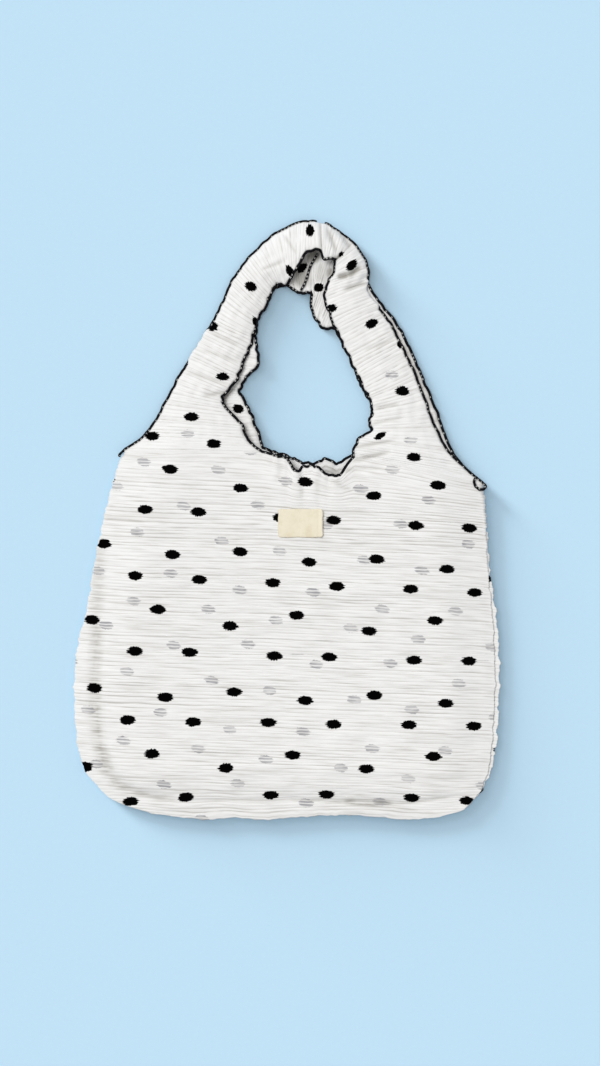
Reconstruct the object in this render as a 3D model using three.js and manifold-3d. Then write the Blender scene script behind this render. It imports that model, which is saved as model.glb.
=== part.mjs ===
// A soft shopper bag of fine pleated cloth, lying flat on a table with its opening to +Y.
// Two cloth panels, front and back, are sewn together along both sides and the hem. Above the
// shoulders each panel runs on as a strap that loops over to its own other side, so each panel is one
// sheet with a neck hole. Black overlock thread binds the neck edges and the outer edges of the
// straps, a short seam closes each strap at the top, and a small blank label sits on the front.
// Units are millimetres: +X to the right, +Y towards the top of the loops, +Z up from the table.

import * as THREE from 'three';
import Module from 'manifold-3d';
import { mergeVertices } from 'three/addons/utils/BufferGeometryUtils.js';

const wasm = await Module();
wasm.setup();

// Driving sizes
const BODY_WIDTH = 382;
const BODY_HEIGHT = 327;
const LOOP_RISE = 208;
const BAG_DEPTH = 15;
const SHOULDER_DROP = 30;
const NECK_WIDTH = 84;
const NECK_OFFSET = 20;
const NECK_DIP = 10;
const STRAP_WIDTH = 46;
const CLOTH = 1.5;
const SEAM_GAP = 0.3;
const SEAM_HEIGHT = 4.5;
const RIM_REACH = 26;
const BACK_PEEK = 4.5;
const HEM_WAVE = 5;
const SIDE_FOLD_DEPTH = 2.4;
const SIDE_FOLD_INSET = 26;
const HEM_FOLD_DEPTH = 2.6;
const HEM_FOLD_INSET = 13;
const THREAD = 2;
const SEAM_THREAD = 1.6;
const LABEL_WIDTH = 40;
const LABEL_HEIGHT = 25.5;
const LABEL_THICKNESS = 0.9;
const LABEL_CORNER = 2;
const LABEL_BELOW_SHOULDER = 65;
const LABEL_OFFSET = 13;

// Grid of each panel: cells across a strap, cells across the neck, rows between two loop stations
const STRAP_CELLS = 7;
const NECK_CELLS = 14;
const STATION_ROWS = 2;
const THREAD_SIDES = 6;
const EDGE_CROWDING = 1.6;

// Outline of the body from hem to shoulders. up is a share of BODY_HEIGHT, left and right are shares
// of BODY_WIDTH from the middle, and peek is the share of BACK_PEEK by which the back shows beyond.
const BODY_SECTIONS = [
  { up: 0, left: -0.316, right: 0.363, peek: 0 },
  { up: 0.016, left: -0.358, right: 0.412, peek: 0 },
  { up: 0.028, left: -0.388, right: 0.426, peek: 0.1 },
  { up: 0.041, left: -0.41, right: 0.437, peek: 0.2 },
  { up: 0.057, left: -0.428, right: 0.449, peek: 0.25 },
  { up: 0.074, left: -0.444, right: 0.459, peek: 0.3 },
  { up: 0.12, left: -0.474, right: 0.474, peek: 0.55 },
  { up: 0.183, left: -0.49, right: 0.483, peek: 0.85 },
  { up: 0.26, left: -0.497, right: 0.488, peek: 1 },
  { up: 0.336, left: -0.499, right: 0.491, peek: 0.9 },
  { up: 0.407, left: -0.497, right: 0.493, peek: 0.95 },
  { up: 0.484, left: -0.488, right: 0.491, peek: 1 },
  { up: 0.56, left: -0.47, right: 0.489, peek: 0.9 },
  { up: 0.648, left: -0.458, right: 0.483, peek: 0.7 },
  { up: 0.743, left: -0.443, right: 0.476, peek: 0.4 },
  { up: 0.839, left: -0.425, right: 0.473, peek: 0.2 },
  { up: 0.92, left: -0.407, right: 0.47, peek: 0.1 },
  { up: 0.96, left: -0.396, right: 0.467, peek: 0.05 },
  { up: 1, left: -0.381, right: 0.464, peek: 0 },
];

// Waves of the hem: across is a share of its length, dip a share of HEM_WAVE.
const HEM = [
  { across: 0, dip: 0 },
  { across: 0.19, dip: 1 },
  { across: 0.29, dip: 0.6 },
  { across: 0.38, dip: 1 },
  { across: 0.55, dip: 0.4 },
  { across: 0.7, dip: 0.2 },
  { across: 0.9, dip: 1 },
  { across: 1, dip: 0.5 },
];

// Gathers of the neck's lower edge: across is a share of NECK_WIDTH, dip is how far the edge hangs
// below the shoulder line as a share of NECK_DIP, and lift is its height as a share of BAG_DEPTH.
const FRONT_NECK = [
  { across: 0, dip: -0.96, lift: 0.72 },
  { across: 0.2, dip: -0.66, lift: 0.82 },
  { across: 0.28, dip: -0.46, lift: 0.72 },
  { across: 0.37, dip: 0.5, lift: 0.93 },
  { across: 0.45, dip: 0.05, lift: 0.72 },
  { across: 0.6, dip: -0.05, lift: 0.86 },
  { across: 0.7, dip: 0.52, lift: 0.72 },
  { across: 0.8, dip: 0.52, lift: 0.93 },
  { across: 0.9, dip: -0.33, lift: 0.8 },
  { across: 1, dip: -1.3, lift: 0.72 },
];
const BACK_NECK = [
  { across: 0, dip: -1.36, lift: 0.1 },
  { across: 0.1, dip: -1.1, lift: 0.05 },
  { across: 0.28, dip: -0.8, lift: 0.16 },
  { across: 0.37, dip: -0.5, lift: 0.06 },
  { across: 0.48, dip: -0.3, lift: 0.16 },
  { across: 0.6, dip: -0.45, lift: 0.06 },
  { across: 0.7, dip: -0.9, lift: 0.18 },
  { across: 0.8, dip: -0.5, lift: 0.06 },
  { across: 0.9, dip: -1, lift: 0.16 },
  { across: 1, dip: -1.5, lift: 0.08 },
];

// The strap of each panel, section by section from the left shoulder over the top to the right one.
// x and y are the strap's middle as shares of BODY_WIDTH and LOOP_RISE, span is its local width to
// the middle of the threads as a share of STRAP_WIDTH, and lean is the direction from its outer to its inner edge in degrees. out,
// mid and inn are heights at the outer edge, the middle and the inner edge as shares of BAG_DEPTH.
const FRONT_LOOP = [
  { x: -0.211, y: 0.048, span: 2.1, lean: -3, out: 0.36, mid: 0.8, inn: 0.6 },
  { x: -0.207, y: 0.128, span: 1.65, lean: -3, out: 0.32, mid: 0.68, inn: 0.5 },
  { x: -0.215, y: 0.217, span: 1.09, lean: -4, out: 0.3, mid: 0.6, inn: 0.44 },
  { x: -0.194, y: 0.295, span: 1.02, lean: -11, out: 0.3, mid: 0.58, inn: 0.5 },
  { x: -0.165, y: 0.384, span: 1.0, lean: -12, out: 0.3, mid: 0.58, inn: 0.42 },
  { x: -0.134, y: 0.497, span: 0.91, lean: -9, out: 0.3, mid: 0.58, inn: 0.36 },
  { x: -0.111, y: 0.594, span: 0.78, lean: -18, out: 0.3, mid: 0.6, inn: 0.34 },
  { x: -0.086, y: 0.688, span: 0.82, lean: -33, out: 0.3, mid: 0.6, inn: 0.34 },
  { x: -0.055, y: 0.781, span: 0.76, lean: -50, out: 0.3, mid: 0.64, inn: 0.36 },
  { x: -0.016, y: 0.828, span: 0.99, lean: -74, out: 0.3, mid: 0.7, inn: 0.4 },
  { x: 0.016, y: 0.876, span: 0.94, lean: -88, out: 0.32, mid: 0.8, inn: 0.7 },
  { x: 0.047, y: 0.924, span: 0.67, lean: -93, out: 0.34, mid: 0.9, inn: 0.95 },
  { x: 0.079, y: 0.931, span: 0.57, lean: -88, out: 0.34, mid: 0.92, inn: 1 },
  { x: 0.098, y: 0.903, span: 0.7, lean: -98, out: 0.34, mid: 0.9, inn: 0.95 },
  { x: 0.127, y: 0.883, span: 0.5, lean: -110, out: 0.36, mid: 0.84, inn: 0.86 },
  { x: 0.141, y: 0.848, span: 0.56, lean: -142, out: 0.4, mid: 0.72, inn: 0.6 },
  { x: 0.15, y: 0.792, span: 0.69, lean: -158, out: 0.36, mid: 0.84, inn: 0.62 },
  { x: 0.146, y: 0.74, span: 0.84, lean: -168, out: 0.32, mid: 0.62, inn: 0.6 },
  { x: 0.14, y: 0.677, span: 0.82, lean: -169, out: 0.3, mid: 0.72, inn: 0.5 },
  { x: 0.159, y: 0.61, span: 0.94, lean: -169, out: 0.34, mid: 0.74, inn: 0.44 },
  { x: 0.187, y: 0.521, span: 1.03, lean: -165, out: 0.34, mid: 0.66, inn: 0.4 },
  { x: 0.214, y: 0.419, span: 1.05, lean: -166, out: 0.32, mid: 0.6, inn: 0.42 },
  { x: 0.243, y: 0.306, span: 1.05, lean: -166, out: 0.32, mid: 0.6, inn: 0.4 },
  { x: 0.266, y: 0.204, span: 1.06, lean: -176, out: 0.32, mid: 0.62, inn: 0.46 },
  { x: 0.273, y: 0.104, span: 1.33, lean: -182, out: 0.32, mid: 0.68, inn: 0.42 },
  { x: 0.278, y: 0.022, span: 1.78, lean: -188, out: 0.34, mid: 0.76, inn: 0.56 },
  { x: 0.293, y: -0.041, span: 2.2, lean: -189, out: 0.36, mid: 0.8, inn: 0.5 },
];
const BACK_LOOP = [
  { x: -0.198, y: 0.076, span: 2.16, lean: 4, out: 0, mid: 0.02, inn: 0.04 },
  { x: -0.191, y: 0.187, span: 1.65, lean: 3, out: 0, mid: 0.02, inn: 0.12 },
  { x: -0.181, y: 0.291, span: 1.18, lean: -8, out: 0, mid: 0.03, inn: 0.02 },
  { x: -0.147, y: 0.388, span: 1.21, lean: -10, out: 0, mid: 0.02, inn: 0.14 },
  { x: -0.13, y: 0.477, span: 1.01, lean: -13, out: 0, mid: 0.02, inn: 0.16 },
  { x: -0.11, y: 0.592, span: 0.75, lean: -23, out: 0, mid: 0.04, inn: 0.02 },
  { x: -0.073, y: 0.716, span: 0.75, lean: -39, out: 0, mid: 0.04, inn: 0.04 },
  { x: -0.026, y: 0.803, span: 0.86, lean: -60, out: 0, mid: 0.04, inn: 0.02 },
  { x: 0.021, y: 0.822, span: 1.25, lean: -81, out: 0, mid: 0.05, inn: 0.1 },
  { x: 0.064, y: 0.833, span: 1.33, lean: -92, out: 0, mid: 0.04, inn: 0.14 },
  { x: 0.09, y: 0.783, span: 1.58, lean: -107, out: 0, mid: 0.1, inn: 0.06 },
  { x: 0.123, y: 0.705, span: 1.63, lean: -113, out: 0, mid: 0.06, inn: 0.02 },
  { x: 0.15, y: 0.644, span: 1.18, lean: -119, out: 0.02, mid: 0.03, inn: 0.02 },
  { x: 0.174, y: 0.566, span: 1.1, lean: -127, out: 0.04, mid: 0.02, inn: 0 },
  { x: 0.207, y: 0.473, span: 1.16, lean: -138, out: 0.03, mid: 0.02, inn: 0 },
  { x: 0.234, y: 0.369, span: 1.19, lean: -144, out: 0.02, mid: 0.02, inn: 0 },
  { x: 0.258, y: 0.258, span: 1.2, lean: -154, out: 0.02, mid: 0.02, inn: 0 },
  { x: 0.273, y: 0.143, span: 1.4, lean: -169, out: 0.02, mid: 0.02, inn: 0.02 },
  { x: 0.278, y: 0.026, span: 1.8, lean: -182, out: 0.01, mid: 0.02, inn: 0.02 },
  { x: 0.296, y: -0.04, span: 2.2, lean: -191, out: 0, mid: 0.02, inn: 0.04 },
];

// Stations at which the seam crosses each strap, and those over which a strap grows out of the body
const FRONT_SEAM_STATION = 13;
const BACK_SEAM_STATION = 10;
const BASE_STATIONS = 2.5;

// Left tail and right curl of the overlock thread past the shoulders, as shares of STRAP_WIDTH
const LEFT_TAIL = [{ x: -0.1, y: -0.07 }];
const RIGHT_CURL = [
  { x: 0.07, y: -0.01 },
  { x: 0.1, y: -0.07 },
  { x: 0.09, y: -0.14 },
  { x: 0.04, y: -0.17 },
];

const mix = (a, b, t) => a + (b - a) * t;
const clamp01 = (t) => Math.min(Math.max(t, 0), 1);
const ease = (t) => clamp01(t) ** 2 * (3 - 2 * clamp01(t));
const bump = (distance, width) => Math.exp(-((distance / width) ** 2));

// Catmull-Rom through evenly numbered values, at the fractional number u.
function smooth(values, u) {
  const last = values.length - 1;
  const i = Math.min(Math.floor(u), last - 1);
  const t = u - i;
  const at = (k) => values[Math.min(Math.max(k, 0), last)];
  const [a, b, c, d] = [at(i - 1), at(i), at(i + 1), at(i + 2)];
  return b + 0.5 * t * (c - a + t * (2 * a - 5 * b + 4 * c - d + t * (3 * (b - c) + d - a)));
}

// One column of a table at a value of its first column.
function sample(table, key, value, column) {
  let i = 0;
  while (i < table.length - 2 && table[i + 1][key] < value) i += 1;
  const t = (value - table[i][key]) / (table[i + 1][key] - table[i][key]);
  return smooth(table.map((row) => row[column]), i + clamp01(t));
}

// Heights of a panel at the seams and where it is fully puffed up or laid down.
const seamStep = (CLOTH + SEAM_GAP) / 2;
const threadRest = Math.max(CLOTH, THREAD) / 2 + SEAM_GAP / 2;
const FRONT = {
  neck: FRONT_NECK,
  loop: FRONT_LOOP,
  peek: 0,
  seamZ: SEAM_HEIGHT + seamStep,
  openZ: BAG_DEPTH - CLOTH / 2,
  loopBase: 0,
  folds: 1,
};
const BACK = {
  neck: BACK_NECK,
  loop: BACK_LOOP,
  peek: BACK_PEEK,
  seamZ: SEAM_HEIGHT - seamStep,
  openZ: CLOTH / 2,
  loopBase: threadRest,
  folds: 0,
};

const columns = 2 * STRAP_CELLS + NECK_CELLS;

// The x of a body column at a section: strap root, neck, strap root. Below the shoulders the columns
// crowd towards the sides, where the cloth curves down to the seams.
function bodyX(panel, section, column) {
  const left = section.left * BODY_WIDTH;
  const right = section.right * BODY_WIDTH + section.peek * panel.peek;
  const neckLeft = NECK_OFFSET - NECK_WIDTH / 2;
  const neckRight = NECK_OFFSET + NECK_WIDTH / 2;
  const inward = (cell) => (cell / STRAP_CELLS) ** mix(EDGE_CROWDING, 1, section.up ** 4);
  if (column <= STRAP_CELLS) return mix(left, neckLeft, inward(column));
  if (column >= columns - STRAP_CELLS) return mix(right, neckRight, inward(columns - column));
  return mix(neckLeft, neckRight, (column - STRAP_CELLS) / NECK_CELLS);
}

// How far the top row hangs below the straight line between the shoulders, and how high it lies.
function neckShape(panel, column) {
  const across = (column - STRAP_CELLS) / NECK_CELLS;
  const dip = NECK_DIP * sample(panel.neck, 'across', clamp01(across), 'dip');
  const lift = BAG_DEPTH * sample(panel.neck, 'across', clamp01(across), 'lift');
  const beyond = Math.max(-across, across - 1, 0) * (NECK_CELLS / STRAP_CELLS);
  return { dip: dip * (1 - ease(beyond)), lift: panel.loopBase + lift, hold: 1 - ease(2 * beyond) };
}

// A point of the body's cloth, in the middle of its wall.
function bodyPoint(panel, section, column) {
  const top = BODY_SECTIONS[BODY_SECTIONS.length - 1];
  const x = bodyX(panel, section, column);
  const topX = bodyX(panel, top, column);
  const left = section.left * BODY_WIDTH;
  const right = section.right * BODY_WIDTH + section.peek * panel.peek;
  const across = clamp01((x - left) / (right - left));
  const shoulder = (-SHOULDER_DROP * (topX - top.left * BODY_WIDTH)) / ((top.right - top.left) * BODY_WIDTH);
  const neck = neckShape(panel, column);
  const hem = HEM_WAVE * sample(HEM, 'across', across, 'dip') * (1 - section.up) ** 12;
  const y = mix(-BODY_HEIGHT, shoulder, section.up) - hem - neck.dip * section.up ** 7;
  const height = section.up * BODY_HEIGHT;
  const opened = ease((x - left) / RIM_REACH) * ease((right - x) / RIM_REACH) * ease(height / RIM_REACH);
  const sideFold = SIDE_FOLD_DEPTH * bump(x - left - SIDE_FOLD_INSET, 9) * ease(4 * section.up) * ease(4 - 4 * section.up);
  const hemFold = HEM_FOLD_DEPTH * bump(height - HEM_FOLD_INSET, 5) * ease(6 * across) * ease(6 - 6 * across);
  const z = mix(panel.seamZ, panel.openZ, opened) - panel.folds * (sideFold + hemFold);
  return new THREE.Vector3(x, y, mix(z, neck.lift, neck.hold * section.up ** 14));
}

// The sections of a strap as outer edge, inner edge and middle height, shoulders included.
function loopSections(panel) {
  const top = BODY_SECTIONS[BODY_SECTIONS.length - 1];
  const shoulder = (outer, inner) => ({
    outer: bodyPoint(panel, top, outer),
    inner: bodyPoint(panel, top, inner),
    mid: panel.openZ,
  });
  const sections = panel.loop.map((row) => {
    const half = (row.span * STRAP_WIDTH) / 2 - THREAD / 2 - SEAM_GAP;
    const lean = THREE.MathUtils.degToRad(row.lean);
    const edge = (side, share) => new THREE.Vector3(
      row.x * BODY_WIDTH + side * half * Math.cos(lean),
      row.y * LOOP_RISE + side * half * Math.sin(lean),
      panel.loopBase + share * BAG_DEPTH,
    );
    return { outer: edge(-1, row.out), inner: edge(1, row.inn), mid: panel.loopBase + row.mid * BAG_DEPTH };
  });
  return [shoulder(0, STRAP_CELLS), ...sections, shoulder(columns, columns - STRAP_CELLS)];
}

// A point of a strap's cloth: u counts its sections, v runs from the outer to the inner edge.
function loopPoint(panel, sections, u, v) {
  const along = (edge, axis) => smooth(sections.map((section) => section[edge][axis]), u);
  const outerZ = along('outer', 'z');
  const innerZ = along('inner', 'z');
  const crown = smooth(sections.map((section) => section.mid), u) - (outerZ + innerZ) / 2;
  const fromBase = Math.min(u, sections.length - 1 - u) / BASE_STATIONS;
  const baseColumn = u < sections.length / 2 ? v * STRAP_CELLS : columns - v * STRAP_CELLS;
  const base = bodyPoint(panel, BODY_SECTIONS[BODY_SECTIONS.length - 1], baseColumn);
  const loopZ = mix(outerZ, innerZ, v) + crown * 4 * v * (1 - v);
  return new THREE.Vector3(
    mix(along('outer', 'x'), along('inner', 'x'), v),
    mix(along('outer', 'y'), along('inner', 'y'), v),
    mix(base.z, loopZ, ease(fromBase)),
  );
}

// The whole sheet of a panel: its points, its triangles, and the grids that number them.
function panelSheet(panel) {
  const points = [];
  const add = (point) => points.push(point) - 1;
  const body = BODY_SECTIONS.map((section) => {
    const row = [];
    for (let column = 0; column <= columns; column += 1) row.push(add(bodyPoint(panel, section, column)));
    return row;
  });
  const topRow = body[body.length - 1];
  const sections = loopSections(panel);
  const rows = (sections.length - 1) * STATION_ROWS;
  const loop = [topRow.slice(0, STRAP_CELLS + 1)];
  for (let row = 1; row < rows; row += 1) {
    const strip = [];
    for (let cell = 0; cell <= STRAP_CELLS; cell += 1) {
      strip.push(add(loopPoint(panel, sections, row / STATION_ROWS, cell / STRAP_CELLS)));
    }
    loop.push(strip);
  }
  loop.push(topRow.slice(columns - STRAP_CELLS).reverse());
  const triangles = [];
  for (const grid of [body, loop]) {
    for (let row = 0; row < grid.length - 1; row += 1) {
      for (let cell = 0; cell < grid[row].length - 1; cell += 1) {
        const [a, b] = [grid[row][cell], grid[row][cell + 1]];
        const [c, d] = [grid[row + 1][cell + 1], grid[row + 1][cell]];
        triangles.push([a, b, c], [a, c, d]);
      }
    }
  }
  return { points, triangles, body, loop };
}

function geometryOf(points, triangles) {
  const geometry = new THREE.BufferGeometry();
  geometry.setAttribute('position', new THREE.Float32BufferAttribute(points.flatMap((p) => [p.x, p.y, p.z]), 3));
  geometry.setIndex(triangles.flat());
  geometry.computeVertexNormals();
  return geometry;
}

// The direction at right angles to the cloth at each point of a sheet.
function sheetNormals(sheet) {
  const normals = sheet.points.map(() => new THREE.Vector3());
  for (const corners of sheet.triangles) {
    const [p, q, r] = corners.map((i) => sheet.points[i]);
    const normal = q.clone().sub(p).cross(r.clone().sub(p));
    corners.forEach((i) => normals[i].add(normal));
  }
  return normals.map((normal) => normal.normalize());
}

// A sheet given a wall, half to each side, and closed along its edges.
function thicken(sheet, wall) {
  const normals = sheetNormals(sheet);
  const upper = sheet.points.map((point, i) => point.clone().addScaledVector(normals[i], wall / 2));
  const lower = sheet.points.map((point, i) => point.clone().addScaledVector(normals[i], -wall / 2));
  const count = sheet.points.length;
  const triangles = [...sheet.triangles];
  const edges = new Map();
  for (const [a, b, c] of sheet.triangles) {
    triangles.push([c + count, b + count, a + count]);
    for (const [i, j] of [[a, b], [b, c], [c, a]]) {
      if (!edges.delete(`${j} ${i}`)) edges.set(`${i} ${j}`, [i, j]);
    }
  }
  for (const [i, j] of edges.values()) triangles.push([j, i, i + count], [j, i + count, j + count]);
  return geometryOf([...upper, ...lower], triangles);
}

// A round thread through points, closed on itself or with flat ends.
function threadAlong(path, diameter, closed) {
  const count = path.length;
  const at = (i) => path[closed ? (i + count) % count : Math.min(Math.max(i, 0), count - 1)];
  const points = [];
  path.forEach((point, i) => {
    const tangent = at(i + 1).clone().sub(at(i - 1)).normalize();
    const side = new THREE.Vector3(0, 0, 1).cross(tangent).normalize();
    const rise = tangent.clone().cross(side);
    for (let k = 0; k < THREAD_SIDES; k += 1) {
      const turn = (2 * Math.PI * k) / THREAD_SIDES;
      points.push(point.clone()
        .addScaledVector(side, (diameter / 2) * Math.cos(turn))
        .addScaledVector(rise, (diameter / 2) * Math.sin(turn)));
    }
  });
  const triangles = [];
  for (let i = 0; i < (closed ? count : count - 1); i += 1) {
    for (let k = 0; k < THREAD_SIDES; k += 1) {
      const [a, b] = [i * THREAD_SIDES + k, i * THREAD_SIDES + ((k + 1) % THREAD_SIDES)];
      const next = ((i + 1) % count) * THREAD_SIDES;
      const [c, d] = [next + ((k + 1) % THREAD_SIDES), next + k];
      triangles.push([a, b, c], [a, c, d]);
    }
  }
  if (!closed) {
    const end = (count - 1) * THREAD_SIDES;
    for (let k = 1; k < THREAD_SIDES - 1; k += 1) {
      triangles.push([0, k + 1, k], [end, end + k, end + k + 1]);
    }
  }
  return geometryOf(points, triangles);
}

// The line on which thread binds a cloth edge: each edge point moved out past the wall, further at a
// bend so that the thread keeps its distance on both sides of it.
function bindingLine(edge) {
  const reach = THREAD / 2 + SEAM_GAP + CLOTH / 20;
  return edge.map(({ point, inside }, i) => {
    const before = edge[Math.max(i - 1, 0)].point;
    const after = edge[Math.min(i + 1, edge.length - 1)].point;
    const tangent = after.clone().sub(before).normalize();
    const out = point.clone().sub(inside);
    out.addScaledVector(tangent, -out.dot(tangent)).normalize();
    const bend = Math.min(point.clone().sub(before).angleTo(after.clone().sub(point)) || 0, 1.8);
    return point.clone().addScaledVector(out, reach / Math.cos(bend / 2));
  });
}

// The neck edge of a sheet, once round, and its outer strap edge from a shoulder to the seam.
function neckEdge(sheet) {
  const { points, body, loop } = sheet;
  const topRow = body.length - 1;
  const edge = [];
  for (let column = STRAP_CELLS + 1; column < columns - STRAP_CELLS; column += 1) {
    edge.push({ point: points[body[topRow][column]], inside: points[body[topRow - 1][column]] });
  }
  for (let row = loop.length - 1; row >= 0; row -= 1) {
    edge.push({ point: points[loop[row][STRAP_CELLS]], inside: points[loop[row][STRAP_CELLS - 1]] });
  }
  return edge;
}

function outerEdge(sheet, firstRow, lastRow) {
  const { points, loop } = sheet;
  const edge = [];
  const step = Math.sign(lastRow - firstRow);
  for (let row = firstRow; row !== lastRow + step; row += step) {
    edge.push({ point: points[loop[row][0]], inside: points[loop[row][1]] });
  }
  return edge;
}

function solidOf(geometry) {
  const bare = geometry.clone();
  bare.deleteAttribute('normal');
  const merged = mergeVertices(bare);
  return new wasm.Manifold(new wasm.Mesh({
    numProp: 3,
    vertProperties: merged.attributes.position.array,
    triVerts: new Uint32Array(merged.index.array),
  }));
}

function joined(first, second) {
  const mesh = solidOf(first).add(solidOf(second)).getMesh();
  const geometry = new THREE.BufferGeometry();
  geometry.setAttribute('position', new THREE.BufferAttribute(mesh.vertProperties, 3));
  geometry.setIndex(new THREE.BufferAttribute(mesh.triVerts, 1));
  geometry.computeVertexNormals();
  return geometry;
}

// Thread of one armhole: round the shoulder from the back strap's seam to the front strap's seam.
function armholeThread(front, back, onLeft) {
  const frontSeamRow = FRONT_SEAM_STATION * STATION_ROWS;
  const backSeamRow = BACK_SEAM_STATION * STATION_ROWS;
  const frontEdge = onLeft ? outerEdge(front, 0, frontSeamRow - 1)
    : outerEdge(front, front.loop.length - 1, frontSeamRow + 1);
  const backEdge = onLeft ? outerEdge(back, 0, backSeamRow - 1)
    : outerEdge(back, back.loop.length - 1, backSeamRow + 1);
  const frontLine = bindingLine(frontEdge);
  const backLine = bindingLine(backEdge);
  const end = frontLine[0];
  const tail = (onLeft ? LEFT_TAIL : RIGHT_CURL).map((point) => new THREE.Vector3(
    end.x + point.x * STRAP_WIDTH,
    end.y + point.y * STRAP_WIDTH,
    SEAM_HEIGHT,
  ));
  return joined(
    threadAlong([...tail.slice().reverse(), ...frontLine], THREAD, false),
    threadAlong([tail[0], ...backLine], THREAD, false),
  );
}

// Thread of the short seam across a strap, lying on the side of the cloth that faces the other panel.
function strapSeamThread(sheet, station, side) {
  const normals = sheetNormals(sheet);
  const clear = side * (CLOTH / 2 + SEAM_THREAD / 2 + SEAM_GAP);
  const row = sheet.loop[station * STATION_ROWS].slice(1, -1);
  const path = row.map((i) => sheet.points[i].clone().addScaledVector(normals[i], clear));
  return threadAlong(path, SEAM_THREAD, false);
}

function labelGeometry() {
  const [w, h] = [LABEL_WIDTH / 2 - LABEL_CORNER, LABEL_HEIGHT / 2 - LABEL_CORNER];
  const outline = new THREE.Shape();
  outline.absarc(w, h, LABEL_CORNER, 0, Math.PI / 2);
  outline.absarc(-w, h, LABEL_CORNER, Math.PI / 2, Math.PI);
  outline.absarc(-w, -h, LABEL_CORNER, Math.PI, 1.5 * Math.PI);
  outline.absarc(w, -h, LABEL_CORNER, 1.5 * Math.PI, 2 * Math.PI);
  return new THREE.ExtrudeGeometry(outline, { depth: LABEL_THICKNESS, bevelEnabled: false, curveSegments: 4 });
}

const cloth = new THREE.MeshStandardMaterial({ name: 'pleated_cloth', color: 0xebeae8, roughness: 0.9 });
const blackThread = new THREE.MeshStandardMaterial({ name: 'black_thread', color: 0x0b0b0d, roughness: 0.85 });
const tape = new THREE.MeshStandardMaterial({ name: 'label_tape', color: 0xe3d4bf, roughness: 0.9 });

const bag = new THREE.Group();
function place(name, geometry, material) {
  const mesh = new THREE.Mesh(geometry, material);
  mesh.name = name;
  bag.add(mesh);
  return mesh;
}

const frontSheet = panelSheet(FRONT);
const backSheet = panelSheet(BACK);
place('front_panel', thicken(frontSheet, CLOTH), cloth);
place('back_panel', thicken(backSheet, CLOTH), cloth);
place('front_neck_overlock', threadAlong(bindingLine(neckEdge(frontSheet)), THREAD, true), blackThread);
place('back_neck_overlock', threadAlong(bindingLine(neckEdge(backSheet)), THREAD, true), blackThread);
place('left_armhole_overlock', armholeThread(frontSheet, backSheet, true), blackThread);
place('right_armhole_overlock', armholeThread(frontSheet, backSheet, false), blackThread);
place('front_strap_seam', strapSeamThread(frontSheet, FRONT_SEAM_STATION, -1), blackThread);
place('back_strap_seam', strapSeamThread(backSheet, BACK_SEAM_STATION, 1), blackThread);
const label = place('label', labelGeometry(), tape);
label.position.set(LABEL_OFFSET, -LABEL_BELOW_SHOULDER, BAG_DEPTH + SEAM_GAP);

// The origin is in the middle of the bag's outline, on the table.
bag.updateMatrixWorld(true);
const extent = new THREE.Box3().setFromObject(bag, true);
const middle = extent.getCenter(new THREE.Vector3());
bag.position.set(-middle.x, -middle.y, -extent.min.z);

export default bag;
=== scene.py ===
# %% [markdown]
# This script gives a soft shopper bag its looks. The bag lies flat on pale paper, seen from straight
# above. The CAD model holds plain solids for two cloth panels, their edge threads, the strap seams and
# a label. They could be dressed with materials alone, but then every edge would stay smooth. Here each
# solid is replaced by a finer mesh in the same place, so pleats, ruffles and stitches are real.

# %% Load the frame
import math

import bpy
import numpy as np
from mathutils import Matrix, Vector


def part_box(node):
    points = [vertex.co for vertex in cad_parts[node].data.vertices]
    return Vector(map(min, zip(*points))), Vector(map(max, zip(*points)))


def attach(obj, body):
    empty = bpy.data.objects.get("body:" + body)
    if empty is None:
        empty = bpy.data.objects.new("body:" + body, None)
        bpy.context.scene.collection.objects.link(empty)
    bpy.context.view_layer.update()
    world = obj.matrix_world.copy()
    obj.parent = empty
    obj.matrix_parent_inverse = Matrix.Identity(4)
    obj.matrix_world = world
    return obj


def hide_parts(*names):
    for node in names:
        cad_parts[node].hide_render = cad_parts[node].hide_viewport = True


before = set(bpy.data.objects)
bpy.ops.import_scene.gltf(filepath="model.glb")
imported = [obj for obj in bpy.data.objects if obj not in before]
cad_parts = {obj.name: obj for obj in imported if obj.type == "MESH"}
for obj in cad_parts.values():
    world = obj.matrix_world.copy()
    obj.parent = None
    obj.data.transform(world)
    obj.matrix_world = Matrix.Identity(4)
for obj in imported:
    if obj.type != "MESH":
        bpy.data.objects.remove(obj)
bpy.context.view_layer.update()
scene = bpy.context.scene
MM = 0.001

# %% [markdown]
# Every place in this script was read off the photo in pixels, and one pixel is 0.9 mm. Places could be
# typed in metres straight away, but pixels are easy to check against the photo. So a small helper turns
# pixels into the millimetres of the CAD model's own drawing. The CAD label, whose place in the drawing
# is known, tells how far the drawing is shifted in the shared frame.

# %% From the photo to the frame
PIXEL = 0.9
ORIGIN_PIXEL = (286.0, 451.0)
LABEL_OFFSET = 13.0
LABEL_BELOW_SHOULDER = 65.0

label_low, label_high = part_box("label")
SHIFT = np.array([
    (label_low[0] + label_high[0]) / 2 / MM - LABEL_OFFSET,
    (label_low[1] + label_high[1]) / 2 / MM + LABEL_BELOW_SHOULDER,
    0.0,
])
print("drawing origin in the frame, mm", SHIFT.round(2))


def at_pixel(px, py):
    """The drawing's x and y, in mm, of a point read off the photo."""
    return (np.asarray(px) - ORIGIN_PIXEL[0]) * PIXEL, (ORIGIN_PIXEL[1] - np.asarray(py)) * PIXEL


def pixel_of(points):
    """Where points of the drawing lie in the photo."""
    return points[..., 0] / PIXEL + ORIGIN_PIXEL[0], ORIGIN_PIXEL[1] - points[..., 1] / PIXEL


# %% [markdown]
# The photo looks straight down on the bag, which fills most of a tall picture. An orthographic camera
# would come close, but a real lens shows raised parts a little larger. So this is a perspective camera
# with a long lens, as far away as makes one pixel 0.9 mm on the cloth.

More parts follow.
